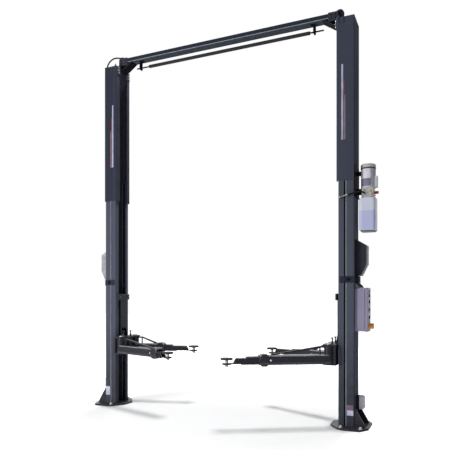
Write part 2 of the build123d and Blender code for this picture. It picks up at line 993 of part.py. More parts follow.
def slide_pads():
    back = column_back - column_wall
    inside = column_face + column_wall
    side = carriage_side_reach
    wall_y = column_half_width - joggle_depth - column_wall
    pad_start = column_face + joggle_start + joggle_run + slide_pad_clear
    made = []
    for z0 in (carriage_bottom, carriage_top - slide_pad_length):
        z1 = z0 + slide_pad_length
        for side_y in (-1, 1):
            y0, y1 = sorted((side_y * side, side_y * (wall_y - slide_pad_gap)))
            made.append(block(pad_start, back - slide_pad_gap, y0, y1, z0, z1))
            y0, y1 = sorted((side_y * side, side_y * (side - front_pad_width)))
            made.append(block(inside + slide_pad_gap, inside + carriage_front_gap, y0, y1, z0, z1))
    return made


def pivot_pins():
    made = []
    for side_y in (-1, 1):
        y = side_y * pivot_spacing / 2
        pin = upright(pivot_pin_radius, pivot_x, y, clevis_low, clevis_top)
        made.append(pin + upright(pin_head_radius, pivot_x, y, clevis_top, clevis_top + pin_head_height))
    return made


def lock_pins():
    """Toothed pins with a spring case and a grip, lifted clear of the sectors."""
    top = clevis_top + lock_rod_height
    pinion_top = head_top - lock_pinion_drop
    pinion_low = pinion_top - lock_pinion_height
    pitch = 360 / lock_pinion_teeth
    outline = toothed_outline(lock_pinion_radius, lock_tooth_depth, pitch, 0, lock_pinion_teeth)
    pinion = prism(outline, Plane.XY, lock_pinion_height)
    made = []
    for side_y in (-1, 1):
        y = side_y * lock_rod_spacing / 2
        pin = upright(lock_rod_radius, lock_rod_x, y, pinion_top, top)
        pin += Pos(lock_rod_x, y, pinion_low) * pinion
        pin += upright(lock_spring_radius, lock_rod_x, y, clevis_top, clevis_top + lock_spring_height)
        made.append(pin + upright(lock_grip_radius, lock_rod_x, y, top, top + lock_grip_height))
    return made


def door_guard():
    x1 = column_face - neck_reach
    half = guard_half_width
    shape = block(x1 - guard_thickness, x1, -half, half, guard_bottom, guard_bottom + guard_height)
    front = shape.faces().sort_by(Axis.X)[0].edges()
    return chamfer(front, guard_corner)


def arm_outer(length, tie_reach, hand):
    """Outer tube along +X from the pivot, with its head, lock sector, mouth collar and tie bar."""
    low = arm_bottom
    top = arm_top
    half = arm_half_width
    middle = (low + top) / 2
    shape = tube(0, length, half, low, top, arm_wall, arm_corner)
    collar = [
        (length, middle),
        (length - collar_slant, top + collar_rise),
        (length - collar_length + collar_slant, top + collar_rise),
        (length - collar_length, middle),
        (length - collar_length + collar_slant, low - collar_rise),
        (length - collar_slant, low - collar_rise),
    ]
    shape += prism(collar, Plane.XZ, half + collar_side, both=True)
    shape -= block(length - 2 * collar_length, length + 1, -half + arm_wall, half - arm_wall,
                   low + arm_wall, top - arm_wall)
    # Upright head, with the tie bar that runs down to the tube and its strut
    tie_top = head_top - tie_inset
    tie = [
        (0, tie_top),
        (tie_level_reach, tie_top),
        (tie_reach, top + tie_thickness / 2),
        (tie_reach, top),
        (tie_reach - 2 * tie_thickness, top),
        (tie_level_reach, tie_top - tie_thickness),
        (0, tie_top - tie_thickness),
    ]
    shape += sheet_y(tie, 0, 2 * tie_half_width)
    shape += block(tie_level_reach - strut_thickness, tie_level_reach, -tie_half_width, tie_half_width,
                   top, tie_top - tie_thickness / 2)
    shape += upright(pivot_head_radius, 0, 0, head_bottom, head_top)
    # Toothed sector of the arm lock, on the side of the head that faces the lock pin
    start = 180 - lock_sector_turn * hand - lock_tooth_pitch * lock_tooth_count / 2
    teeth = toothed_outline(lock_gear_radius, lock_tooth_depth, lock_tooth_pitch, start, lock_tooth_count)
    gear_top = head_top - lock_gear_top_drop
    shape += prism([(0, 0)] + teeth, Plane.XY.offset(gear_top - lock_gear_thickness), lock_gear_thickness)
    # Room for the lower clevis plate, and the bore for the pin
    shape -= block(-2 * half, head_notch, -2 * half, 2 * half, low - 2 * collar_rise, head_bottom)
    return shape - upright(pivot_pin_radius + pivot_pin_gap, 0, 0, low, head_top + 1)


def arm_middle(outer_length, length, out):
    """Middle stage, a smaller tube with a slanted mouth."""
    low = arm_bottom + arm_wall + stage_floor_gap
    top = low + middle_height
    half = arm_half_width - arm_wall - stage_side_gap
    end = outer_length + middle_nose + out
    shape = tube(end - length, end, half, low, top, middle_wall, middle_corner)
    mouth = [(end, low + middle_wall), (end + 1, low + middle_wall), (end + 1, top + 1), (end - middle_slant, top + 1)]
    return shape - sheet_y(mouth, 0, 4 * half)


def arm_inner(outer_length, length, middle_out, out):
    """Inner stage with the eye for the pad screw."""
    low = inner_bottom
    top = low + inner_height
    half = arm_half_width - arm_wall - middle_wall - 2 * stage_side_gap
    eye_x = outer_length + middle_nose + middle_out + inner_nose + out
    start = eye_x - inner_nose - length
    body_end = eye_x - pad_radius - body_clear
    eye_top = low - eye_drop + eye_height
    shape = tube(start, body_end, half, low, top, inner_wall, inner_corner)
    mouth = [(body_end, eye_top), (body_end + 1, eye_top), (body_end + 1, top + 1), (body_end - inner_slant, top + 1)]
    shape -= sheet_y(mouth, 0, 4 * half)
    shape += upright(eye_radius, eye_x, 0, low - eye_drop, eye_top)
    shape += block(body_end - 2 * inner_wall, eye_x, -half, half, low, eye_top)
    return shape - upright(screw_radius + screw_gap, eye_x, 0, low - 2 * eye_drop, eye_top + 1)


def pad(outer_length, middle_out, inner_out, up):
    """Round lifting pad with four grooves that run out from a plain hub, on its screw."""
    eye_x = outer_length + middle_nose + middle_out + inner_nose + inner_out
    eye_low = inner_bottom - eye_drop
    disc_low = eye_low + eye_height + pad_seat_gap + pad_cone_height + up
    disc_top = disc_low + pad_thickness
    disc = upright(pad_radius, eye_x, 0, disc_low, disc_top)
    disc = chamfer(disc.edges().sort_by(Axis.Z)[-1], pad_edge)
    half = pad_groove_width / 2
    groove = block(pad_hub_radius, pad_radius + 1, -half, half, disc_top - pad_groove_depth, disc_top + 1)
    for turn in (0, 90, 180, 270):
        disc -= Pos(eye_x, 0, 0) * Rot(0, 0, turn) * groove
    cone = Pos(eye_x, 0, disc_low - pad_cone_height / 2) * Cone(screw_radius, pad_cone_radius, pad_cone_height)
    tail = eye_low - screw_tail - pad_screw_travel + up
    return disc + cone + upright(screw_radius, eye_x, 0, tail, disc_low)


def arm(side_x, side_y, rest):
    """The four moving pieces of one arm, placed at rest."""
    is_front = side_y < 0
    length = front_arm_length if is_front else rear_arm_length
    tie_reach = front_tie_reach if is_front else rear_tie_reach
    middle_length = front_middle_length if is_front else rear_middle_length
    inner_length = front_inner_length if is_front else rear_inner_length
    heading = 180 - rest["swing"] * side_y if side_x > 0 else rest["swing"] * side_y
    place = Pos(side_x * pivot_x, side_y * pivot_spacing / 2, 0) * Rot(0, 0, heading)
    pieces = {
        "arm_outer": arm_outer(length, tie_reach, side_x * side_y),
        "arm_middle": arm_middle(length, middle_length, rest["middle_out"]),
        "arm_inner": arm_inner(length, inner_length, rest["middle_out"], rest["inner_out"]),
        "pad": pad(length, rest["middle_out"], rest["inner_out"], rest["pad_up"]),
    }
    return {name: place * shape for name, shape in pieces.items()}


def bridge_hose():
    """The hose of the far cylinder, out of the channel of the beam and down into the left extension."""
    z = beam_bottom + beam_wall + union_size / 2
    y = -bridge_down_y
    route = [
        (-bridge_start_x, -bridge_y, z),
        (-bridge_start_x - 60, -bridge_y, z),
        (-bridge_start_x - 170, -bridge_y - 6, z + 29),
        (-bridge_start_x - 255, -bridge_y - 18, z + 55),
        (-bridge_start_x - 320, -bridge_y - 56, z + 57),
        (-bridge_start_x - 382, -bridge_y - 73, z + 24),
        (-bridge_down_x + 5, y + 1, z - 34),
        (-bridge_down_x, y, z - 114),
        (-bridge_down_x, y, bridge_union_top),
    ]
    return hose(route, hose_radius)


def pressure_pipe_end():
    """Where the hose leaves the sloping pipe on the right column, and the way it points."""
    start = Vector(pressure_pipe_x, -pressure_y, pressure_pipe_z)
    end = Vector(pressure_hose_x, -pressure_y, pressure_hose_z)
    return end, (end - start).normalized()


def pressure_hose():
    """The hose from the pipe on the right column to the port of the pump block."""
    x_port = power_x - hose_port_lead
    y_port = -block_half_width - ferrule_length
    start, way = pressure_pipe_end()
    route = [
        tuple(start),
        tuple(start + way * 56),
        (x_port - 34, -pressure_y + 14, port_z + 5),
        (x_port, -pressure_y + 48, port_z),
        (x_port, y_port, port_z),
    ]
    return hose(route, hose_radius)


def hose_fittings():
    """Unions, pipe and crimped ends of the two hoses."""
    half = union_size / 2
    floor = beam_bottom + beam_wall
    beam_union = block(
        -bridge_start_x, -bridge_start_x + union_length, -bridge_y - half, -bridge_y + half, floor, floor + union_size
    )
    drop_union = block(
        -column_back,
        -bridge_down_x + half,
        -bridge_down_y - half,
        -bridge_down_y + half,
        bridge_union_top - union_length,
        bridge_union_top,
    )
    wall_union = block(
        pressure_pipe_x - half,
        pressure_pipe_x + half,
        -pressure_y - half,
        -column_half_width,
        pressure_pipe_z - half,
        pressure_pipe_z + half,
    )
    pipe_end, way = pressure_pipe_end()
    pipe = bar_between(line_radius, (pressure_pipe_x, -pressure_y, pressure_pipe_z), tuple(pipe_end))
    pipe += bar_between(ferrule_radius, tuple(pipe_end - way * ferrule_length), tuple(pipe_end))
    x_port = power_x - hose_port_lead
    port_union = along_y(ferrule_radius, x_port, -block_half_width - ferrule_length, -block_half_width, port_z)
    return [beam_union, drop_union, wall_union + pipe, port_union]


os.makedirs("parts", exist_ok=True)

right_column = column()
save("column_right", right_column)
save("column_left", other_side(right_column))
right_extension = extension()
save("column_extension_right", right_extension)
save("column_extension_left", other_side(right_extension))
right_base = base_plate()
save("base_plate_right", right_base)
save("base_plate_left", other_side(right_base))
save("crossbeam", crossbeam())
right_bracket = beam_bracket()
save("beam_bracket_right", right_bracket)
save("beam_bracket_left", other_side(right_bracket))
right_pulley = top_pulley()
save("top_pulleys", right_pulley, other_side(right_pulley))
save("shutoff_hangers", shutoff_hanger(slotted=True), other_side(shutoff_hanger(slotted=False)))
save("shutoff_bar", shutoff_bar())
save("bar_foam", bar_foam())
right_band = column_band()
save("column_bands", right_band, other_side(right_band))
right_cover = lock_cover()
save("lock_cover_right", right_cover)
save("lock_cover_left", other_side(right_cover))
save("control_box", control_box())
save("control_cable", control_cable())
save("control_box_lid", control_box_lid())
save("push_buttons", *push_buttons())
save("emergency_stop", emergency_stop())
save("power_bracket", power_bracket())
save("motor", motor())
save("motor_cowl", motor_cowl())
save("pump_block", pump_block())
save("relief_knob", relief_knob())
save("oil_tank", oil_tank())
save("bridge_hose", bridge_hose())
save("pressure_hose", pressure_hose())
save("hose_fittings", *hose_fittings())
right_foot = foot_bracket()
save("foot_brackets", right_foot, other_side(right_foot))
right_foot_pulley = foot_pulley()
save("foot_pulleys", right_foot_pulley, other_side(right_foot_pulley))
right_rod = piston_rod()
save("piston_rods", right_rod, other_side(right_rod))
for side_name, turn in (("right", lambda shape: shape), ("left", other_side)):
    save(f"carriage_{side_name}", turn(carriage()))
    save(f"slide_pads_{side_name}", *[turn(piece) for piece in slide_pads()])
    save(f"arm_pins_{side_name}", *[turn(piece) for piece in pivot_pins() + lock_pins()])
    save(f"door_guard_{side_name}", turn(door_guard()))
    save(f"cylinder_barrel_{side_name}", turn(cylinder_barrel()))

arm_places = [
    ("front_right", 1, -1, front_right_rest),
    ("rear_right", 1, 1, rear_right_rest),
    ("front_left", -1, -1, front_left_rest),
    ("rear_left", -1, 1, rear_left_rest),
]
for place_name, side_x, side_y, rest in arm_places:
    for piece_name, shape in arm(side_x, side_y, rest).items():
        save(f"{piece_name}_{place_name}", shape)
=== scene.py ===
import json
import math

import bmesh
import bpy
from mathutils import Matrix, Vector


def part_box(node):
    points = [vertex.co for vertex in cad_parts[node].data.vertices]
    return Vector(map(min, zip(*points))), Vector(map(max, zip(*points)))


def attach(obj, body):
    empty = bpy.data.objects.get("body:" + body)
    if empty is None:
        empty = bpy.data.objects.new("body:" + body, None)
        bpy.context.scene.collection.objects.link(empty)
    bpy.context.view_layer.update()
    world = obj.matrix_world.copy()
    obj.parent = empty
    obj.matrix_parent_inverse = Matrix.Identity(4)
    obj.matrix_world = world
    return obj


# Two post car lift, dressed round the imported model, in metres
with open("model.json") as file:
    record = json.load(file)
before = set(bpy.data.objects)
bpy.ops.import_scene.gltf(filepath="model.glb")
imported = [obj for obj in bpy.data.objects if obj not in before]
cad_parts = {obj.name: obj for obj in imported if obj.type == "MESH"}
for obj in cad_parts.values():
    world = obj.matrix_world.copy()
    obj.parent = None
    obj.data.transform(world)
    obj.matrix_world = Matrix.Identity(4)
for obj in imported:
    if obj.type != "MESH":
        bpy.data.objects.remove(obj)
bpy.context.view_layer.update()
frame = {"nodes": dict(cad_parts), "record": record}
nodes = frame["nodes"]

SIDES = {"left": -1, "right": 1}
ARMS = {
    "front_right": (1, -1),
    "rear_right": (1, 1),
    "front_left": (-1, -1),
    "rear_left": (-1, 1),
}
ARM_SWING = {"front_right": 29.7, "rear_right": 23.8, "front_left": 18.6, "rear_left": 16.6}

# Camera, as fitted to the photograph
PHOTO_WIDTH = 462
FOCAL_PIXELS = 519.8
HORIZON_BELOW_CENTRE = 71.9
CAMERA_PLACE = (2.541, -5.519, 1.355)
CAMERA_YAW = math.radians(23.67)

# Pivots of the arms
PIVOT_X = 1.300
PIVOT_Y = 0.150

# Paints and plastics, linear colours
COLUMN_GREY = (0.070, 0.080, 0.106)
EXTENSION_GREY = (0.055, 0.061, 0.086)
BASE_BLACK = (0.027, 0.027, 0.035)
CARRIAGE_BLACK = (0.014, 0.015, 0.020)
ARM_BLACK = (0.016, 0.017, 0.023)
BOX_LAVENDER = (0.275, 0.255, 0.355)
ZINC = (0.62, 0.61, 0.58)
BARE_STEEL = (0.50, 0.50, 0.51)

# Where a finish, a painted shade or a painted highlight changes on a piece, in metres along one axis
# Places of painted shade, painted highlights, painted light and a painted reflection on the columns,
# extensions and arms
COLUMN_SPAN = 3.0
COLUMN_FADE = (0.13, 0.34)
JOGGLE_RISER = (1.4530, 1.4700)
JOGGLE_EDGE = (1.4700, 1.4758)
LEFT_FOLD = (-1.424, -1.416)
REAR_WALL = 0.05
ARM_SIDE = (0.663, 0.684)
# Places where the finish itself changes
BOX_SEAM = (1.656, 1.664)
BOX_TOP_PLATE = 1.447
FOOT_BLACK = (1.5, 1.590)
COWL_GROOVE = (2.6, 2.690)
OIL_LEVEL = 2.235
TANK_RIM = (2.0, 2.0385)
TOP_BUTTON = 1.387
LOCK_PINS = 0.11
PAD_DISC = 0.019

# Shares of a normal that lie on the rolled bends of a tube, where the painted highlights go
UPPER_BEND = (0.25, 0.93)
LOWER_BEND = (-0.93, -0.12)

# Finish of the paints
MATT = 0.004
EDGE_RADIUS = 0.003
DOWN_THE_COLUMN = (1, 1, 0.15)
ALONG_THE_BEAM = (0.15, 1, 1)
EVEN = (1, 1, 1)


# Materials
def start_material(name, roughness, metallic=0.0):
    """A new material with its node tree and its shader, ready for detail."""
    material = bpy.data.materials.new(name)
    material.use_nodes = True
    tree = material.node_tree
    shader = tree.nodes["Principled BSDF"]
    shader.inputs["Roughness"].default_value = roughness
    shader.inputs["Metallic"].default_value = metallic
    return material, tree, shader


def place_on(tree, stretch=(1, 1, 1)):
    """Object coordinates, stretched where a pattern runs along the piece."""
    coordinates = tree.nodes.new("ShaderNodeTexCoord")
    mapping = tree.nodes.new("ShaderNodeMapping")
    mapping.inputs["Scale"].default_value = stretch
    tree.links.new(coordinates.outputs["Object"], mapping.inputs["Vector"])
    return mapping.outputs["Vector"]


def noise(tree, scale, detail=3, stretch=(1, 1, 1)):
    texture = tree.nodes.new("ShaderNodeTexNoise")
    texture.inputs["Scale"].default_value = scale
    texture.inputs["Detail"].default_value = detail
    tree.links.new(place_on(tree, stretch), texture.inputs["Vector"])
    return texture.outputs["Fac"]


def ramp(tree, value, stops):
    """A colour or grey ramp from (position, colour) stops."""
    node = tree.nodes.new("ShaderNodeValToRGB")
    elements = node.color_ramp.elements
    while len(elements) < len(stops):
        elements.new(0.5)
    for element, (position, color) in zip(elements, stops):
        element.position = position
        element.color = (*color, 1)
    tree.links.new(value, node.inputs["Fac"])
    return node.outputs["Color"]


def grey_ramp(tree, value, low, high, dark=0.0, light=1.0):
    return ramp(tree, value, [(low, (dark,) * 3), (high, (light,) * 3)])


def mix(tree, amount, first, second, way="MIX"):
    """Two colours, each a value or a socket, mixed by an amount that is a value or a socket."""
    node = tree.nodes.new("ShaderNodeMix")
    node.data_type = "RGBA"
    node.blend_type = way
    pairs = ((node.inputs["Factor"], amount), (node.inputs[6], first), (node.inputs[7], second))
    for socket, given in pairs:
        if isinstance(given, bpy.types.NodeSocket):
            tree.links.new(given, socket)
        elif isinstance(given, tuple):
            socket.default_value = (*given, 1)
        else:
            socket.default_value = given
    return node.outputs[2]


def math_node(tree, operation, first, second=0.0):
    node = tree.nodes.new("ShaderNodeMath")
    node.operation = operation
    for socket, given in zip(node.inputs, (first, second)):
        if isinstance(given, bpy.types.NodeSocket):
            tree.links.new(given, socket)
        else:
            socket.default_value = given
    return node.outputs[0]


def rounded_normal(tree, radius):
    """Normals that turn softly over sharp edges, as folded and cut steel does."""
    node = tree.nodes.new("ShaderNodeBevel")
    node.samples = 4
    node.inputs["Radius"].default_value = radius
    return node.outputs["Normal"]


def edge_amount(tree, normal):
    """How close a point is to a sharp edge, from the turn of its rounded normal."""
    geometry = tree.nodes.new("ShaderNodeNewGeometry")
    dot = tree.nodes.new("ShaderNodeVectorMath")
    dot.operation = "DOT_PRODUCT"
    tree.links.new(geometry.outputs["True Normal"], dot.inputs[0])
    tree.links.new(normal, dot.inputs[1])
    return grey_ramp(tree, dot.outputs["Value"], 0.80, 0.985, 1.0, 0.0)


def bump(tree, height, distance, strength=0.4, normal=None):
    node = tree.nodes.new("ShaderNodeBump")
    node.inputs["Distance"].default_value = distance
    node.inputs["Strength"].default_value = strength
    tree.links.new(height, node.inputs["Height"])
    if normal is not None:
        tree.links.new(normal, node.inputs["Normal"])
    return node.outputs["Normal"]


def along(tree, axis):
    """One object coordinate of the point, in metres."""
    coordinates = tree.nodes.new("ShaderNodeTexCoord")
    split = tree.nodes.new("ShaderNodeSeparateXYZ")
    tree.links.new(coordinates.outputs["Object"], split.inputs["Vector"])
    return split.outputs[axis]


def facing(tree, axis):
    """One part of the normal of a piece that stands still."""
    geometry = tree.nodes.new("ShaderNodeNewGeometry")
    split = tree.nodes.new("ShaderNodeSeparateXYZ")
    tree.links.new(geometry.outputs["Normal"], split.inputs["Vector"])
    return split.outputs[axis]


def shade(color, share):
    return tuple(min(1.0, part * share) for part in color)


def satin_paint(name, color, roughness, gloss=0.12, peel=0.00025, edge_light=1.6,
                streak=DOWN_THE_COLUMN):
    """Stoved paint on steel: orange peel, faint clouds, and lighter edges, partly worn paint and
    partly a painted highlight.
    """
    material, tree, shader = start_material(name, roughness)
    shader.inputs["Specular IOR Level"].default_value = gloss
    clouds = grey_ramp(tree, noise(tree, 2.2, 4, streak), 0.32, 0.70)
    body = mix(tree, clouds, shade(color, 0.90), shade(color, 1.12))
    specks = grey_ramp(tree, noise(tree, 260, 2), 0.62, 0.80, 0.0, 0.5)
    body = mix(tree, specks, body, shade(color, 1.5))
    soft = rounded_normal(tree, EDGE_RADIUS)
    patches = grey_ramp(tree, noise(tree, 30, 3), 0.30, 0.62)
    # Lighter edges: partly worn paint, partly a painted edge highlight
    wear_and_edge_highlight = math_node(tree, "MULTIPLY", edge_amount(tree, soft), patches)
    body = mix(tree, wear_and_edge_highlight, body, shade(color, edge_light))
    tree.links.new(body, shader.inputs["Base Color"])
    gloss_clouds = noise(tree, 7, 4, streak)
    rough = grey_ramp(tree, gloss_clouds, 0.3, 0.7, roughness - 0.06, roughness + 0.07)
    tree.links.new(rough, shader.inputs["Roughness"])
    tree.links.new(bump(tree, noise(tree, 420, 2), peel, 0.35, soft), shader.inputs["Normal"])
    return material


def machined_steel(name, color, roughness, turned=(1, 1, 30)):
    """Bright steel with fine tool marks along one way."""
    material, tree, shader = start_material(name, roughness, 1.0)
    marks = noise(tree, 60, 3, turned)
    body = mix(tree, grey_ramp(tree, marks, 0.35, 0.65), shade(color, 0.82), shade(color, 1.1))
    stains = grey_ramp(tree, noise(tree, 9, 4), 0.55, 0.75, 0.0, 0.6)
    body = mix(tree, stains, body, shade(color, 0.62))
    tree.links.new(body, shader.inputs["Base Color"])
    rough = grey_ramp(tree, marks, 0.3, 0.7, roughness - 0.08, roughness + 0.10)
    tree.links.new(rough, shader.inputs["Roughness"])
    tree.links.new(bump(tree, marks, 0.0001, 0.3), shader.inputs["Normal"])
    return material


def moulded(name, color, roughness, grain=0.0002, grain_scale=500, gloss=0.25):
    """Moulded plastic or rubber with a fine grain and faint colour clouds."""
    material, tree, shader = start_material(name, roughness)
    shader.inputs["Specular IOR Level"].default_value = gloss
    clouds = grey_ramp(tree, noise(tree, 12, 4), 0.35, 0.68)
    body = mix(tree, clouds, shade(color, 0.85), shade(color, 1.25))
    tree.links.new(body, shader.inputs["Base Color"])
    rough = grey_ramp(tree, noise(tree, 25, 3), 0.3, 0.7, roughness - 0.05, roughness + 0.07)
    tree.links.new(rough, shader.inputs["Roughness"])
    soft = rounded_normal(tree, 0.002)
    grains = noise(tree, grain_scale, 2)
    tree.links.new(bump(tree, grains, grain, 0.5, soft), shader.inputs["Normal"])
    return material


def foam_skin(name, color):
    """Closed cell foam: soft pits over a dull skin, with painted shade in the pits."""
    material, tree, shader = start_material(name, 0.9)
    cells = tree.nodes.new("ShaderNodeTexVoronoi")
    cells.inputs["Scale"].default_value = 240
    tree.links.new(place_on(tree), cells.inputs["Vector"])
    pits = cells.outputs["Distance"]
    # Painted shade: darker in the pits, lighter between them
    body = mix(tree, grey_ramp(tree, pits, 0.05, 0.5), shade(color, 0.6), shade(color, 1.5))
    tree.links.new(body, shader.inputs["Base Color"])
    tree.links.new(bump(tree, pits, 0.0008, 0.6), shader.inputs["Normal"])
    return material


def milky_tank(name, oil_level):
    """Translucent tank: lavender where the oil stands, paler above it."""
    material, tree, shader = start_material(name, 0.32)
    height = along(tree, "Z")
    wave = math_node(tree, "MULTIPLY", noise(tree, 5, 2), 0.004)
    level = math_node(tree, "ADD", height, wave)
    edge = math_node(tree, "MULTIPLY", math_node(tree, "SUBTRACT", level, oil_level), 60)
    filled = grey_ramp(tree, edge, 0.0, 1.0, 1.0, 0.0)
    body = mix(tree, filled, (0.60, 0.63, 0.74), (0.44, 0.46, 0.70))
    clouds = grey_ramp(tree, noise(tree, 6, 4), 0.3, 0.7, 0.0, 0.35)
    body = mix(tree, clouds, body, (0.58, 0.62, 0.76))
    tree.links.new(body, shader.inputs["Base Color"])
    shader.inputs["Subsurface Weight"].default_value = 0.25
    shader.inputs["Subsurface Radius"].default_value = (0.02, 0.02, 0.03)
    soft = rounded_normal(tree, 0.004)
    tree.links.new(bump(tree, noise(tree, 90, 2), 0.0006, 0.3, soft), shader.inputs["Normal"])
    return material


def between(tree, value, low, high):
    """1 where a value lies between two limits, 0 elsewhere."""
    above = math_node(tree, "GREATER_THAN", value, low)
    return math_node(tree, "MULTIPLY", above, math_node(tree, "LESS_THAN", value, high))


def second_color(material, chosen, color, metallic=None):
    """Give part of a finish another colour, by a value from 0 to 1 in its own node tree."""
    tree = material.node_tree
    shader = tree.nodes["Principled BSDF"]
    before = shader.inputs["Base Color"].links[0].from_socket
    clouds = grey_ramp(tree, noise(tree, 14, 4), 0.35, 0.68)
    other = mix(tree, clouds, shade(color, 0.88), shade(color, 1.1))
    tree.links.new(mix(tree, chosen, before, other), shader.inputs["Base Color"])
    if metallic is not None:
        tree.links.new(math_node(tree, "MULTIPLY", chosen, metallic), shader.inputs["Metallic"])


def color_band(material, axis, limits, color):
    """Another colour between two places along an axis."""
    tree = material.node_tree
    second_color(material, between(tree, along(tree, axis), *limits), color)


def color_past(material, axis, limit, color):
    """Another colour beyond a place along an axis."""
    tree = material.node_tree
    second_color(material, math_node(tree, "GREATER_THAN", along(tree, axis), limit), color)


def color_both_sides(material, limits, color):
    """Another colour between two distances from the middle of the lift."""
    tree = material.node_tree
    away = math_node(tree, "ABSOLUTE", along(tree, "X"))
    second_color(material, between(tree, away, *limits), color)


def color_facing(material, axis, limits, color):
    """Another colour on faces whose normal has a share on an axis between two limits."""
    tree = material.node_tree
    second_color(material, between(tree, facing(tree, axis), *limits), color)


def color_out(material, low, high, color):
    """Another colour that comes in as faces turn towards +X."""
    tree = material.node_tree
    second_color(material, grey_ramp(tree, facing(tree, "X"), low, high), color)


def rolled_tube(name, color, upper, lower):
    """Glossy black tube with painted highlights, in patches, on its rounded upper and lower bends.
    """
    material = satin_paint(name, color, 0.25, gloss=0.3, streak=EVEN, edge_light=3.5)
    tree = material.node_tree
    level = facing(tree, "Z")
    patches = grey_ramp(tree, noise(tree, 9, 4), 0.30, 0.60, 0.45, 1.0)
    # Painted highlights on the upper and lower bends, in patches
    for limits, bend_highlight in ((UPPER_BEND, upper), (LOWER_BEND, lower)):
        bend = math_node(tree, "MULTIPLY", between(tree, level, *limits), patches)
        second_color(material, bend, bend_highlight)
    return material


def pad_finish(name, disc_low):
    """Black rubber disc on a bright steel screw."""
    material = moulded(name, (0.020, 0.020, 0.022), 0.6, 0.0004, 300)
    tree = material.node_tree
    screw = math_node(tree, "LESS_THAN", along(tree, "Z"), disc_low)
    second_color(material, screw, (0.52, 0.51, 0.50), 1.0)
    return material


def pin_finish(name):
    """Bright pivot pins, and black lock pins nearer to the middle."""
    material = machined_steel(name, BARE_STEEL, 0.32)
    tree = material.node_tree
    distance = math_node(tree, "ABSOLUTE", along(tree, "Y"))
    inner = math_node(tree, "LESS_THAN", distance, LOCK_PINS)
    second_color(material, inner, (0.012, 0.012, 0.015))
    bright = math_node(tree, "GREATER_THAN", distance, LOCK_PINS)
    tree.links.new(bright, tree.nodes["Principled BSDF"].inputs["Metallic"])
    return material


# Columns: painted shade darker towards the foot, painted shade on the riser of the joggle and a
# painted highlight on its edge
column_paint = satin_paint("column_paint", shade(COLUMN_GREY, 1.03), 0.5, gloss=MATT)
column_tree = column_paint.node_tree
column_height = math_node(column_tree, "DIVIDE", along(column_tree, "Z"), COLUMN_SPAN)
column_foot_shade = grey_ramp(column_tree, column_height, *COLUMN_FADE, 1.0, 0.0)
second_color(column_paint, column_foot_shade, (0.056, 0.060, 0.077))
color_both_sides(column_paint, JOGGLE_RISER, (0.008, 0.009, 0.014))
color_both_sides(column_paint, JOGGLE_EDGE, (0.38, 0.41, 0.45))

base_paint = satin_paint("base_paint", BASE_BLACK, 0.32, gloss=0.18, edge_light=3.0, streak=EVEN)

# Extensions: painted shade on faces turned towards +X; the left one is a darker, shaded copy of the
# paint, with a painted highlight along its fold and painted light on its faces turned towards +X and
# on the wall at its inner rear
extension_paint = satin_paint("extension_paint", EXTENSION_GREY, 0.5, gloss=MATT)
# Painted shade on faces turned towards +X
color_out(extension_paint, 0.6, 0.95, (0.036, 0.042, 0.066))
# A darker, shaded copy of the extension paint for the left extension
extension_left_shaded_paint = satin_paint("extension_left_shaded_paint", (0.034, 0.038, 0.054), 0.5, gloss=MATT)
# Painted highlight along the fold
color_band(extension_left_shaded_paint, "X", LEFT_FOLD, (0.055, 0.062, 0.085))
# Painted light on faces turned towards +X
color_out(extension_left_shaded_paint, 0.6, 0.95, (0.044, 0.048, 0.066))
left_tree = extension_left_shaded_paint.node_tree
# Painted light on the inner face of the rear wall
rear_half = math_node(left_tree, "GREATER_THAN", along(left_tree, "Y"), REAR_WALL)
to_front = between(left_tree, facing(left_tree, "Y"), -1.1, -0.6)
inner_rear_painted_light = math_node(left_tree, "MULTIPLY", rear_half, to_front)
second_color(extension_left_shaded_paint, inner_rear_painted_light, (0.100, 0.096, 0.130))

# Beam, with painted light on its under side and a painted highlight on its lower bends
beam_paint = satin_paint("beam_paint", (0.026, 0.030, 0.042), 0.5, gloss=MATT,
                         streak=ALONG_THE_BEAM)
color_facing(beam_paint, "Z", (-1.1, -0.9), (0.052, 0.062, 0.074))
color_facing(beam_paint, "Z", (-0.9, -0.1), (0.24, 0.27, 0.31))
band_paint = satin_paint("band_paint", (0.027, 0.031, 0.043), 0.5, gloss=0.02, streak=EVEN)
beam_bracket_paint = satin_paint("beam_bracket_paint", (0.046, 0.044, 0.062), 0.5, gloss=MATT,
                                 streak=EVEN)
# Painted shade on the bracket's faces turned downwards
color_facing(beam_bracket_paint, "Z", (-1.1, -0.3), (0.012, 0.012, 0.018))

# Carriages, arms and small black brackets; painted highlights on the bends of the arm tubes, and a
# painted reflection band along the sides of the outer tubes
carriage_paint = satin_paint("carriage_paint", CARRIAGE_BLACK, 0.36, gloss=0.2, streak=EVEN,
                             edge_light=3.0)
arm_paint = rolled_tube("arm_paint", ARM_BLACK, (0.24, 0.24, 0.265), (0.11, 0.11, 0.13))
arm_tree = arm_paint.node_tree
# A painted reflection band along the side of each outer tube, in clouds
arm_side = between(arm_tree, along(arm_tree, "Z"), *ARM_SIDE)
arm_clouds = grey_ramp(arm_tree, noise(arm_tree, 5, 3), 0.35, 0.6, 0.25, 1.0)
arm_painted_reflection = math_node(arm_tree, "MULTIPLY", arm_side, arm_clouds)
second_color(arm_paint, arm_painted_reflection, (0.062, 0.060, 0.078))
stage_paint = rolled_tube("stage_paint", shade(ARM_BLACK, 0.8), (0.14, 0.14, 0.17),
                          (0.05, 0.05, 0.06))
bracket_paint = satin_paint("bracket_paint", (0.010, 0.010, 0.013), 0.5, gloss=MATT, streak=EVEN,
                            edge_light=2.5)

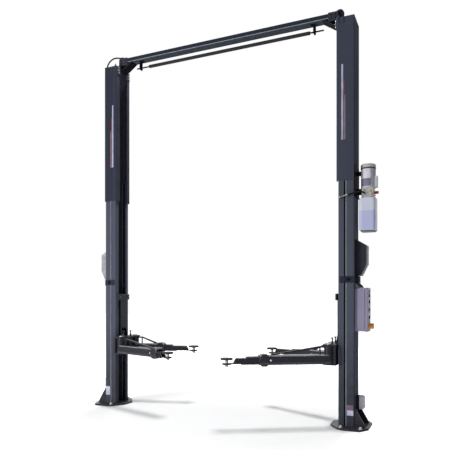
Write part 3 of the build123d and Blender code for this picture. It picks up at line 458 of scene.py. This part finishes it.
# Control box and its lid
box_paint = satin_paint("box_paint", BOX_LAVENDER, 0.5, peel=0.0006, edge_light=1.3, streak=EVEN)
color_band(box_paint, "X", BOX_SEAM, (0.09, 0.08, 0.13))
color_past(box_paint, "Z", BOX_TOP_PLATE, (0.42, 0.42, 0.46))
lid_paint = satin_paint("lid_paint", shade(BOX_LAVENDER, 1.06), 0.5, peel=0.0006, edge_light=1.3,
                        streak=EVEN)
color_out(lid_paint, 0.5, 0.9, (0.47, 0.45, 0.58))

# Foot brackets, motor, cowl and pump block
foot_paint = satin_paint("foot_paint", (0.66, 0.64, 0.76), 0.45, peel=0.0004, edge_light=1.2,
                         streak=EVEN)
color_both_sides(foot_paint, FOOT_BLACK, (0.016, 0.016, 0.022))
motor_paint = satin_paint("motor_paint", (0.60, 0.59, 0.65), 0.34, peel=0.0005, edge_light=1.2,
                          streak=EVEN)
cowl_paint = satin_paint("cowl_paint", (0.60, 0.55, 0.51), 0.34, peel=0.0005, edge_light=1.2,
                         streak=EVEN)
color_band(cowl_paint, "Z", COWL_GROOVE, (0.05, 0.05, 0.055))
block_paint = satin_paint("block_paint", (0.52, 0.51, 0.50), 0.30, gloss=0.3, edge_light=1.2,
                          streak=EVEN)

# Bare metals
bright_steel = machined_steel("bright_steel", BARE_STEEL, 0.30)
zinc = machined_steel("zinc", ZINC, 0.38, turned=EVEN)
dull_zinc = machined_steel("dull_zinc", shade(ZINC, 0.42), 0.42, turned=EVEN)
chrome = machined_steel("chrome", (0.60, 0.60, 0.62), 0.16)

# Rubber and plastics
guard_rubber = moulded("guard_rubber", (0.017, 0.017, 0.020), 0.62, 0.0005, 350)
hose_rubber = moulded("hose_rubber", (0.010, 0.010, 0.012), 0.5, 0.0003, 600, gloss=0.06)
nylon = moulded("nylon", (0.72, 0.70, 0.64), 0.45)
dark_cover = moulded("dark_cover", (0.021, 0.023, 0.034), 0.45, gloss=0.12)
color_out(dark_cover, 0.2, 0.95, (0.33, 0.33, 0.35))
light_cover = moulded("light_cover", (0.30, 0.30, 0.32), 0.48)
knob_red = moulded("knob_red", (0.42, 0.030, 0.018), 0.35)
stop_orange = moulded("stop_orange", (0.86, 0.42, 0.10), 0.35)
button_black = moulded("button_black", (0.02, 0.02, 0.024), 0.3)
color_past(button_black, "Z", TOP_BUTTON, (0.30, 0.30, 0.32))
foam = foam_skin("foam", (0.010, 0.010, 0.012))
tank = milky_tank("tank", OIL_LEVEL)
color_band(tank, "Z", TANK_RIM, (0.07, 0.07, 0.10))

# Plates, stripes and small metal pieces
label_film = moulded("label_film", (0.52, 0.50, 0.64), 0.4)
rose_film = moulded("rose_film", (0.15, 0.11, 0.16), 0.4)
stripe_film = moulded("stripe_film", (0.36, 0.38, 0.50), 0.4)
red_film = moulded("red_film", (0.36, 0.05, 0.06), 0.4)
motor_plate_paint = satin_paint("motor_plate_paint", (0.78, 0.77, 0.84), 0.4, streak=EVEN,
                                edge_light=1.1)
motor_band_paint = satin_paint("motor_band_paint", (0.22, 0.21, 0.30), 0.4, streak=EVEN,
                               edge_light=1.1)
brass = machined_steel("brass", (0.44, 0.38, 0.20), 0.35, turned=EVEN)
weld_metal = satin_paint("weld_metal", shade(BASE_BLACK, 1.3), 0.35, gloss=0.3, peel=0.0008,
                         streak=EVEN)

NODE_FINISH = {
    "column_left": column_paint,
    "column_right": column_paint,
    "base_plate_left": base_paint,
    "base_plate_right": base_paint,
    "column_bands": band_paint,
    "column_extension_left": extension_left_shaded_paint,
    "column_extension_right": extension_paint,
    "crossbeam": beam_paint,
    "beam_bracket_left": beam_bracket_paint,
    "beam_bracket_right": beam_bracket_paint,
    "shutoff_hangers": bracket_paint,
    "carriage_left": carriage_paint,
    "carriage_right": carriage_paint,
    "arm_pins_left": pin_finish("pins_left"),
    "arm_pins_right": pin_finish("pins_right"),
    "piston_rods": chrome,
    "shutoff_bar": bracket_paint,
    "top_pulleys": bracket_paint,
    "foot_pulleys": bright_steel,
    "foot_brackets": foot_paint,
    "cylinder_barrel_left": bracket_paint,
    "cylinder_barrel_right": bracket_paint,
    "power_bracket": bracket_paint,
    "door_guard_left": guard_rubber,
    "door_guard_right": guard_rubber,
    "slide_pads_left": nylon,
    "slide_pads_right": nylon,
    "bar_foam": foam,
    "lock_cover_right": dark_cover,
    "lock_cover_left": light_cover,
    "control_box": box_paint,
    "control_box_lid": lid_paint,
    "control_cable": hose_rubber,
    "bridge_hose": hose_rubber,
    "pressure_hose": hose_rubber,
    "hose_fittings": dull_zinc,
    "push_buttons": button_black,
    "emergency_stop": stop_orange,
    "motor": motor_paint,
    "motor_cowl": cowl_paint,
    "pump_block": block_paint,
    "relief_knob": knob_red,
    "oil_tank": tank,
}
for arm in ARMS:
    NODE_FINISH[f"arm_outer_{arm}"] = arm_paint
    NODE_FINISH[f"arm_middle_{arm}"] = stage_paint
    NODE_FINISH[f"arm_inner_{arm}"] = stage_paint
    disc_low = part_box(f"pad_{arm}")[1][2] - PAD_DISC
    NODE_FINISH[f"pad_{arm}"] = pad_finish(f"pad_{arm}", disc_low)

for name, node in nodes.items():
    for slot in node.material_slots:
        slot.material = NODE_FINISH[name]


# Shapes
def turned_to(place, direction):
    """A matrix that puts a shape built along +Z at a place, pointing along a direction."""
    turn = Vector((0, 0, 1)).rotation_difference(Vector(direction)).to_matrix().to_4x4()
    return Matrix.Translation(Vector(place)) @ turn


def add_disc(mesh, place, direction, radius, height, sides=24, top_radius=None):
    """A round or many-sided stub that starts at a place and grows along a direction."""
    matrix = turned_to(place, direction) @ Matrix.Translation((0, 0, height / 2))
    top = radius if top_radius is None else top_radius
    made = bmesh.ops.create_cone(mesh, cap_ends=True, segments=sides, radius1=radius, radius2=top,
                                 depth=height, matrix=matrix)
    return made["verts"]


def add_hex_bolt(mesh, place, direction, across):
    """Washer and hexagon head of a bolt, with the head's top edge chamfered."""
    step = Vector(direction).normalized()
    place = Vector(place)
    washer = across * 0.14
    head = across * 0.62
    corner = across * 0.577
    add_disc(mesh, place, step, across * 0.95, washer, 20)
    add_disc(mesh, place + step * washer, step, corner, head * 0.8, 6)
    add_disc(mesh, place + step * (washer + head * 0.8), step, corner, head * 0.2, 6, across * 0.48)


def add_block(mesh, low, high, edge):
    """A box between two corners, with its edges rounded off a little."""
    low = Vector(low)
    high = Vector(high)
    matrix = Matrix.Translation((low + high) / 2) @ Matrix.Diagonal((*(high - low), 1))
    made = bmesh.ops.create_cube(mesh, size=1, matrix=matrix)
    edges = list({e for v in made["verts"] for e in v.link_edges})
    bmesh.ops.bevel(mesh, geom=edges, offset=edge, segments=2, profile=0.5, affect="EDGES",
                    material=-1)


def finish_piece(name, mesh, material, body, smooth=False):
    """Turn a bmesh into a piece of the lift that rides on a body."""
    bmesh.ops.recalc_face_normals(mesh, faces=mesh.faces)
    data = bpy.data.meshes.new(name)
    mesh.to_mesh(data)
    mesh.free()
    data.materials.append(material)
    for polygon in data.polygons:
        polygon.use_smooth = smooth
    made = bpy.data.objects.new(name, data)
    bpy.context.scene.collection.objects.link(made)
    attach(made, body)
    return made


def place_bolts(name, body, places, direction, across, material=None):
    """Hexagon bolts on one face, as one piece."""
    mesh = bmesh.new()
    for place in places:
        add_hex_bolt(mesh, place, direction, across)
    return finish_piece(name, mesh, material or dull_zinc, body)


def place_screws(name, body, places, direction, radius):
    """Domed screws with a driving recess, as one piece."""
    mesh = bmesh.new()
    step = Vector(direction)
    for place in places:
        start = Vector(place)
        add_disc(mesh, start, step, radius, radius * 0.35, 16)
        dome = start + step * radius * 0.35
        made = add_disc(mesh, dome, step, radius, radius * 0.3, 16, radius * 0.6)
        faces = {face for v in made for face in v.link_faces}
        top = max(faces, key=lambda face: (face.calc_center_median() - start).dot(step))
        bmesh.ops.inset_individual(mesh, faces=[top], thickness=radius * 0.25)
        bmesh.ops.translate(mesh, verts=top.verts, vec=-step * radius * 0.3)
    return finish_piece(name, mesh, dull_zinc, body)


def place_plate(name, low, high, material):
    """A thin plate on a column or an extension."""
    mesh = bmesh.new()
    add_block(mesh, low, high, 0.0004)
    return finish_piece(name, mesh, material, "root")


def along_arm(side_x, side_y, swing, distance, aside):
    """A point over an arm's middle line at rest, from its pivot outwards, and the way across."""
    heading = math.radians(180 - swing * side_y if side_x > 0 else swing * side_y)
    forward = Vector((math.cos(heading), math.sin(heading), 0))
    across = Vector((-forward.y, forward.x, 0))
    pivot = Vector((side_x * PIVOT_X, side_y * PIVOT_Y, 0))
    return pivot + forward * distance + across * aside, across


# Anchor bolts in the base plates
ANCHOR_STUD = 0.008
ANCHOR_LENGTH = 0.040
ANCHOR_FOOT = 0.001
ANCHOR_NUT = 0.024
PLATE_TOP = 0.020
for mount in frame["record"]["mounts"]:
    if mount["kind"] != "bolt_pattern":
        continue
    centre = Vector(mount["pos_m"])
    mesh = bmesh.new()
    for side_x in (-1, 1):
        for side_y in (-1, 1):
            x = centre.x + side_x * mount["dims"]["spacing_x_mm"] / 2000
            y = centre.y + side_y * mount["dims"]["spacing_y_mm"] / 2000
            add_disc(mesh, (x, y, ANCHOR_FOOT), (0, 0, 1), ANCHOR_STUD, ANCHOR_LENGTH, 16)
            add_hex_bolt(mesh, (x, y, PLATE_TOP), (0, 0, 1), ANCHOR_NUT)
    finish_piece(mount["name"].replace("holes", "bolts"), mesh, zinc, "root")

# Bolts and screws on the columns and the beam, the same on both sides
FRONT = -0.1403
EXTENSION_BOLT = 0.016
EXTENSION_BOLT_X = (1.397, 1.447)
EXTENSION_BOLT_Z = (4.235, 4.200)
END_PLATE_BOLT = 0.015
END_PLATE_X = 1.369
END_PLATE_BOLT_Y = 0.107
END_PLATE_BOLT_Z = (4.228, 4.198, 4.168)
BEAM_BOLT = 0.012
BEAM_SIDE = 0.066
BEAM_BOLT_X = (1.300, 1.350)
BEAM_BOLT_Z = (4.335, 4.300)
BAND_BOLT = 0.017
BAND_BOLT_PLACE = (1.496, -0.139, 1.537)
GUARD_SCREW = 0.006
GUARD_SCREW_PLACE = (1.357, 0.085, 1.355)
COVER_SCREW = 0.005
COVER_X = 1.677
COVER_SCREW_Y = 0.048
COVER_SCREW_Z = (1.69, 1.86)
for side, side_x in SIDES.items():
    for name, turn in (("extension_bolts", 1), ("extension_back_bolts", -1)):
        places = [(side_x * x, turn * FRONT, z) for x in EXTENSION_BOLT_X for z in EXTENSION_BOLT_Z]
        place_bolts(f"{name}_{side}", "root", places, (0, -turn, 0), EXTENSION_BOLT,
                    extension_paint)
    places = [(side_x * END_PLATE_X, turn * END_PLATE_BOLT_Y, z)
              for turn in (-1, 1) for z in END_PLATE_BOLT_Z]
    place_bolts(f"end_plate_bolts_{side}", "root", places, (-side_x, 0, 0), END_PLATE_BOLT)
    for face, turn in (("front", -1), ("rear", 1)):
        places = [(side_x * x, turn * BEAM_SIDE, z) for x in BEAM_BOLT_X for z in BEAM_BOLT_Z]
        place_bolts(f"beam_bolts_{face}_{side}", "root", places, (0, turn, 0), BEAM_BOLT,
                    band_paint)
    x, y, z = BAND_BOLT_PLACE
    place_bolts(f"band_bolt_{side}", "root", [(side_x * x, y, z)], (0, -1, 0), BAND_BOLT,
                bracket_paint)
    x, y, z = GUARD_SCREW_PLACE
    places = [(side_x * x, turn * y, z) for turn in (-1, 1)]
    place_screws(f"guard_screws_{side}", f"carriage_{side}", places, (-side_x, 0, 0), GUARD_SCREW)
    places = [(side_x * COVER_X, turn * COVER_SCREW_Y, z) for turn in (-1, 1) for z in COVER_SCREW_Z]
    place_screws(f"cover_screws_{side}", "root", places, (side_x, 0, 0), COVER_SCREW)

# Clips on the hangers of the overhead bar, beside the rod
CLIP_X = (1.098, 1.121)
CLIP_Y = (0.0128, 0.0215)
CLIP_Z = (4.200, 4.300)
for side, side_x in SIDES.items():
    mesh = bmesh.new()
    first, second = sorted(side_x * x for x in CLIP_X)
    for turn in (-1, 1):
        near, far = sorted(turn * y for y in CLIP_Y)
        add_block(mesh, (first, near, CLIP_Z[0]), (second, far, CLIP_Z[1]), 0.002)
    finish_piece(f"hanger_clips_{side}", mesh, bracket_paint, "root")

# Motor: plates round its wall, and the slots in the top of its fan cowl
MOTOR_CENTRE = (1.680, 0.0)
MOTOR_RADIUS = 0.074
MOTOR_PLATE_START = math.radians(-153)
MOTOR_PLATE_SWEEP = math.radians(90)
COWL_TOP = 2.7262
SLOT_RAYS = 18
SLOT_RINGS = (0.030, 0.045, 0.060)
SLOT_RADIUS = 0.0034
SLOT_HEIGHT = 0.0009


def wrapped_plate(name, low, high, material):
    """A thin plate that follows the motor's wall, by turning its section about the motor's axis."""
    mesh = bmesh.new()
    inside = MOTOR_RADIUS - 0.0005
    outside = MOTOR_RADIUS + 0.0008
    corners = [(inside, low), (outside, low), (outside, high), (inside, high)]
    x, y = MOTOR_CENTRE
    places = [(x + reach * math.cos(MOTOR_PLATE_START), y + reach * math.sin(MOTOR_PLATE_START), z)
              for reach, z in corners]
    section = mesh.faces.new([mesh.verts.new(place) for place in places])
    bmesh.ops.spin(mesh, geom=[section], cent=(x, y, 0), axis=(0, 0, 1), angle=MOTOR_PLATE_SWEEP,
                   steps=20)
    return finish_piece(name, mesh, material, "root")


wrapped_plate("motor_plate", 2.575, 2.674, motor_plate_paint)
wrapped_plate("motor_band", 2.496, 2.572, motor_band_paint)
mesh = bmesh.new()
for number in range(SLOT_RAYS):
    turn = math.radians(20 * number + 4)
    for reach in SLOT_RINGS:
        x = MOTOR_CENTRE[0] + reach * math.cos(turn)
        y = MOTOR_CENTRE[1] + reach * math.sin(turn)
        add_disc(mesh, (x, y, COWL_TOP), (0, 0, 1), SLOT_RADIUS, SLOT_HEIGHT, 10)
finish_piece("cowl_slots", mesh, bracket_paint, "root")

# Pump block: plugs on its front and side
FRONT_PLUGS = (
    ((1.700, -0.070, 2.447), 0.013, 24),
    ((1.716, -0.070, 2.408), 0.011, 6),
    ((1.640, -0.070, 2.456), 0.010, 6),
)
SIDE_PLUGS = ((1.742, -0.045, 2.455), (1.742, 0.040, 2.410))
plugs = bmesh.new()
for place, radius, sides in FRONT_PLUGS:
    add_disc(plugs, place, (0, -1, 0), radius, 0.006, sides)
    add_disc(plugs, Vector(place) + Vector((0, -0.006, 0)), (0, -1, 0), radius * 0.6, 0.003, 6)
for place in SIDE_PLUGS:
    add_disc(plugs, place, (1, 0, 0), 0.010, 0.005, 6)
finish_piece("block_plugs", plugs, brass, "root")

# Wall plate over the control box
WALL_PLATE = ((1.558, 1.449), (1.640, 1.449), (1.634, 1.462), (1.600, 1.499), (1.558, 1.499))
WALL_PLATE_FRONT = -0.032
WALL_PLATE_DEPTH = 0.004
mesh = bmesh.new()
face = mesh.faces.new([mesh.verts.new((x, WALL_PLATE_FRONT, z)) for x, z in WALL_PLATE])
swept = bmesh.ops.extrude_face_region(mesh, geom=[face])["geom"]
swept_verts = [v for v in swept if isinstance(v, bmesh.types.BMVert)]
bmesh.ops.translate(mesh, verts=swept_verts, vec=(0, WALL_PLATE_DEPTH, 0))
finish_piece("box_wall_plate", mesh, light_cover, "root")

# Control box: hinge knuckles, corner screws of the lid and the collar of the stop button
HINGE_X = 1.668
HINGE_Y = 0.1005
HINGE_HEIGHTS = (1.070, 1.375)
HINGE_LENGTH = 0.044
LID_FACE = 1.687
LID_SCREW = 0.0045
STOP_CONE = (1.6925, 0.003, 1.052)
STOP_RIM = (1.7085, 0.003, 1.052)
mesh = bmesh.new()
for z in HINGE_HEIGHTS:
    add_disc(mesh, (HINGE_X, HINGE_Y, z - HINGE_LENGTH / 2), (0, 0, 1), 0.0014, HINGE_LENGTH, 12)
finish_piece("lid_hinges", mesh, dull_zinc, "root")
lid_corners = [(LID_FACE, y, z) for y in (-0.082, 0.088) for z in (1.008, 1.437)]
place_screws("lid_screws", "root", lid_corners, (1, 0, 0), LID_SCREW)
mesh = bmesh.new()
add_disc(mesh, STOP_CONE, (1, 0, 0), 0.036, 0.016, 32, 0.028)
add_disc(mesh, STOP_RIM, (1, 0, 0), 0.028, 0.007, 32, 0.029)
finish_piece("stop_collar", mesh, stop_orange, "root")

# Stop bolts on top of the arms and bolts in their sides, which ride with them
FRONT_ARM_LENGTH = 0.740
REAR_ARM_LENGTH = 0.400
ARM_TOP = 0.757
ARM_MIDDLE = 0.706
STOP_BOLT = 0.012
STOP_BOLT_FROM_END = 0.060
STOP_BOLT_ASIDE = 0.022
SIDE_BOLT = 0.011
SIDE_BOLT_FROM_END = 0.118
ARM_SIDE_WALL = 0.050
for arm, (side_x, side_y) in ARMS.items():
    swing = ARM_SWING[arm]
    length = FRONT_ARM_LENGTH if side_y < 0 else REAR_ARM_LENGTH
    mesh = bmesh.new()
    for turn in (-1, 1):
        place, across = along_arm(side_x, side_y, swing, length - STOP_BOLT_FROM_END,
                                  turn * STOP_BOLT_ASIDE)
        add_hex_bolt(mesh, (place.x, place.y, ARM_TOP), (0, 0, 1), STOP_BOLT)
    finish_piece(f"stop_bolts_{arm}", mesh, dull_zinc, f"arm_outer_{arm}")
    mesh = bmesh.new()
    for turn in (-1, 1):
        place, across = along_arm(side_x, side_y, swing, length - SIDE_BOLT_FROM_END,
                                  turn * ARM_SIDE_WALL)
        add_hex_bolt(mesh, (place.x, place.y, ARM_MIDDLE), across * turn, SIDE_BOLT)
    finish_piece(f"side_bolts_{arm}", mesh, zinc, f"arm_outer_{arm}")


WELD_RADIUS = 0.0035
WELD_HEIGHT = 0.021


def weld_bead(name, start, end):
    """A fillet weld of overlapping scales between two points."""
    mesh = bmesh.new()
    radius = WELD_RADIUS
    start = Vector(start)
    way = Vector(end) - start
    count = max(2, int(way.length / (radius * 1.6)))
    for number in range(count):
        place = start + way * ((number + 0.5) / count)
        matrix = Matrix.Translation(place)
        bmesh.ops.create_icosphere(mesh, subdivisions=1, radius=radius, matrix=matrix)
    return finish_piece(name, mesh, weld_metal, "root", smooth=True)


# Weld beads where the columns stand on their base plates
WELDS = {"inner": (1.410, 1.455, 0.1365), "outer": (1.475, 1.545, 0.1285)}
for side, side_x in SIDES.items():
    for face, turn in (("front", -1), ("rear", 1)):
        for name, (first, second, away) in WELDS.items():
            y = turn * away
            weld_bead(f"weld_{name}_{face}_{side}", (side_x * first, y, WELD_HEIGHT),
                      (side_x * second, y, WELD_HEIGHT))

# Bare plates on the columns and plain stripes on the extensions
COLUMN_FRONT = -0.1281
COLUMN_PLATES = (
    ("plate_right_upper", 1.482, 1.549, 0.187, 0.240, rose_film),
    ("plate_right_lower", 1.482, 1.549, 0.132, 0.186, label_film),
    ("plate_left", -1.548, -1.488, 0.119, 0.228, label_film),
)
STRIPES = (
    (1.428, 1.447, 2.98, 3.76, stripe_film),
    (1.452, 1.458, 2.98, 3.60, red_film),
    (1.463, 1.468, 2.98, 3.44, stripe_film),
)
for name, first, second, low, high, film in COLUMN_PLATES:
    place_plate(name, (first, COLUMN_FRONT - 0.001, low), (second, COLUMN_FRONT, high), film)
for side, side_x in SIDES.items():
    for number, (inner, outer, low, high, film) in enumerate(STRIPES):
        first, second = sorted((side_x * inner, side_x * outer))
        place_plate(f"stripe_{side}_{number + 1}", (first, FRONT - 0.0007, low),
                    (second, FRONT, high), film)

# Camera, floor and light
# The floor's glow for the camera grows with distance and past each side, and paints out the shadow
# there
FLOOR_LIFT = [(0.0, 0.0), (1.4, 0.03), (2.3, 0.25), (4.0, 0.7), (7.0, 1.0)]
FLOOR_REACH = 8.0
FLOOR_SIDES = (1.46, 1.76)
FLOOR_SIZE = 30
SKY_STRENGTH = 0.22


def add_camera():
    data = bpy.data.cameras.new("camera")
    data.sensor_fit = "HORIZONTAL"
    data.sensor_width = 36
    data.lens = FOCAL_PIXELS / PHOTO_WIDTH * data.sensor_width
    data.shift_y = HORIZON_BELOW_CENTRE / PHOTO_WIDTH
    camera = bpy.data.objects.new("camera", data)
    camera.location = CAMERA_PLACE
    camera.rotation_euler = (math.pi / 2, 0, CAMERA_YAW)
    bpy.context.scene.collection.objects.link(camera)
    bpy.context.scene.camera = camera


def add_light(name, place, target, width, height, power, glossy=True):
    data = bpy.data.lights.new(name, "AREA")
    data.shape = "RECTANGLE"
    data.size = width
    data.size_y = height
    data.energy = power
    light = bpy.data.objects.new(name, data)
    light.location = place
    light.rotation_euler = (Vector(target) - Vector(place)).to_track_quat("-Z", "Y").to_euler()
    light.visible_glossy = glossy
    bpy.context.scene.collection.objects.link(light)


def white_for_view(tree, output, shader_socket):
    """Camera, glossy and transmission rays see plain white; other rays see the given shader."""
    path = tree.nodes.new("ShaderNodeLightPath")
    seen = math_node(tree, "MAXIMUM", path.outputs["Is Camera Ray"], path.outputs["Is Glossy Ray"])
    seen = math_node(tree, "MAXIMUM", seen, path.outputs["Is Transmission Ray"])
    white = tree.nodes.new("ShaderNodeBackground")
    white.inputs["Strength"].default_value = 1.0
    white.inputs["Color"].default_value = (1, 1, 1, 1)
    chosen = tree.nodes.new("ShaderNodeMixShader")
    tree.links.new(seen, chosen.inputs["Fac"])
    tree.links.new(shader_socket, chosen.inputs[1])
    tree.links.new(white.outputs["Background"], chosen.inputs[2])
    tree.links.new(chosen.outputs["Shader"], output.inputs["Surface"])


def add_world(strength):
    world = bpy.data.worlds.new("studio")
    bpy.context.scene.world = world
    world.use_nodes = True
    tree = world.node_tree
    sky = tree.nodes["Background"]
    sky.inputs["Color"].default_value = (0.93, 0.95, 1.0, 1)
    sky.inputs["Strength"].default_value = strength
    white_for_view(tree, tree.nodes["World Output"], sky.outputs["Background"])


def add_floor():
    """A pale floor that keeps the shadow near the lift and glows white for the camera further out
    and past each side, which paints out the shadow there.
    """
    material, tree, shader = start_material("studio_floor", 0.75)
    clouds = grey_ramp(tree, noise(tree, 0.8, 2), 0.3, 0.7, 0.75, 0.77)
    tree.links.new(clouds, shader.inputs["Base Color"])
    shader.inputs["Specular IOR Level"].default_value = 0.0
    path = tree.nodes.new("ShaderNodeLightPath")
    glow = tree.nodes.new("ShaderNodeEmission")
    distance = tree.nodes.new("ShaderNodeVectorMath")
    distance.operation = "LENGTH"
    tree.links.new(place_on(tree), distance.inputs[0])
    share = math_node(tree, "DIVIDE", distance.outputs["Value"], FLOOR_REACH)
    stops = [(place / FLOOR_REACH, (strength,) * 3) for place, strength in FLOOR_LIFT]
    beside = math_node(tree, "DIVIDE", math_node(tree, "ABSOLUTE", along(tree, "X")), FLOOR_REACH)
    side_start, side_end = (place / FLOOR_REACH for place in FLOOR_SIDES)
    beside = grey_ramp(tree, beside, side_start, side_end)
    lift = math_node(tree, "MAXIMUM", ramp(tree, share, stops), beside)
    seen_lift = math_node(tree, "MULTIPLY", path.outputs["Is Camera Ray"], lift)
    tree.links.new(seen_lift, glow.inputs["Strength"])
    both = tree.nodes.new("ShaderNodeAddShader")
    tree.links.new(shader.outputs["BSDF"], both.inputs[0])
    tree.links.new(glow.outputs["Emission"], both.inputs[1])
    tree.links.new(both.outputs["Shader"], tree.nodes["Material Output"].inputs["Surface"])
    mesh = bmesh.new()
    bmesh.ops.create_grid(mesh, x_segments=1, y_segments=1, size=FLOOR_SIZE)
    data = bpy.data.meshes.new("studio_floor")
    mesh.to_mesh(data)
    mesh.free()
    data.materials.append(material)
    floor = bpy.data.objects.new("studio_floor", data)
    bpy.context.scene.collection.objects.link(floor)


scene = bpy.context.scene
scene.view_settings.view_transform = "Standard"
add_camera()
add_world(SKY_STRENGTH)
add_floor()
add_light("ceiling_softbox", (0.5, 0.3, 8.0), (0, 0, 0), 2.0, 1.6, 570)
add_light("front_softbox", (-4.2, -6.4, 2.6), (0, 0, 1.9), 2.4, 3.6, 420)
add_light("rear_softbox", (-3.0, 7.5, 2.8), (0, 0, 2.0), 3.0, 3.0, 300, glossy=False)
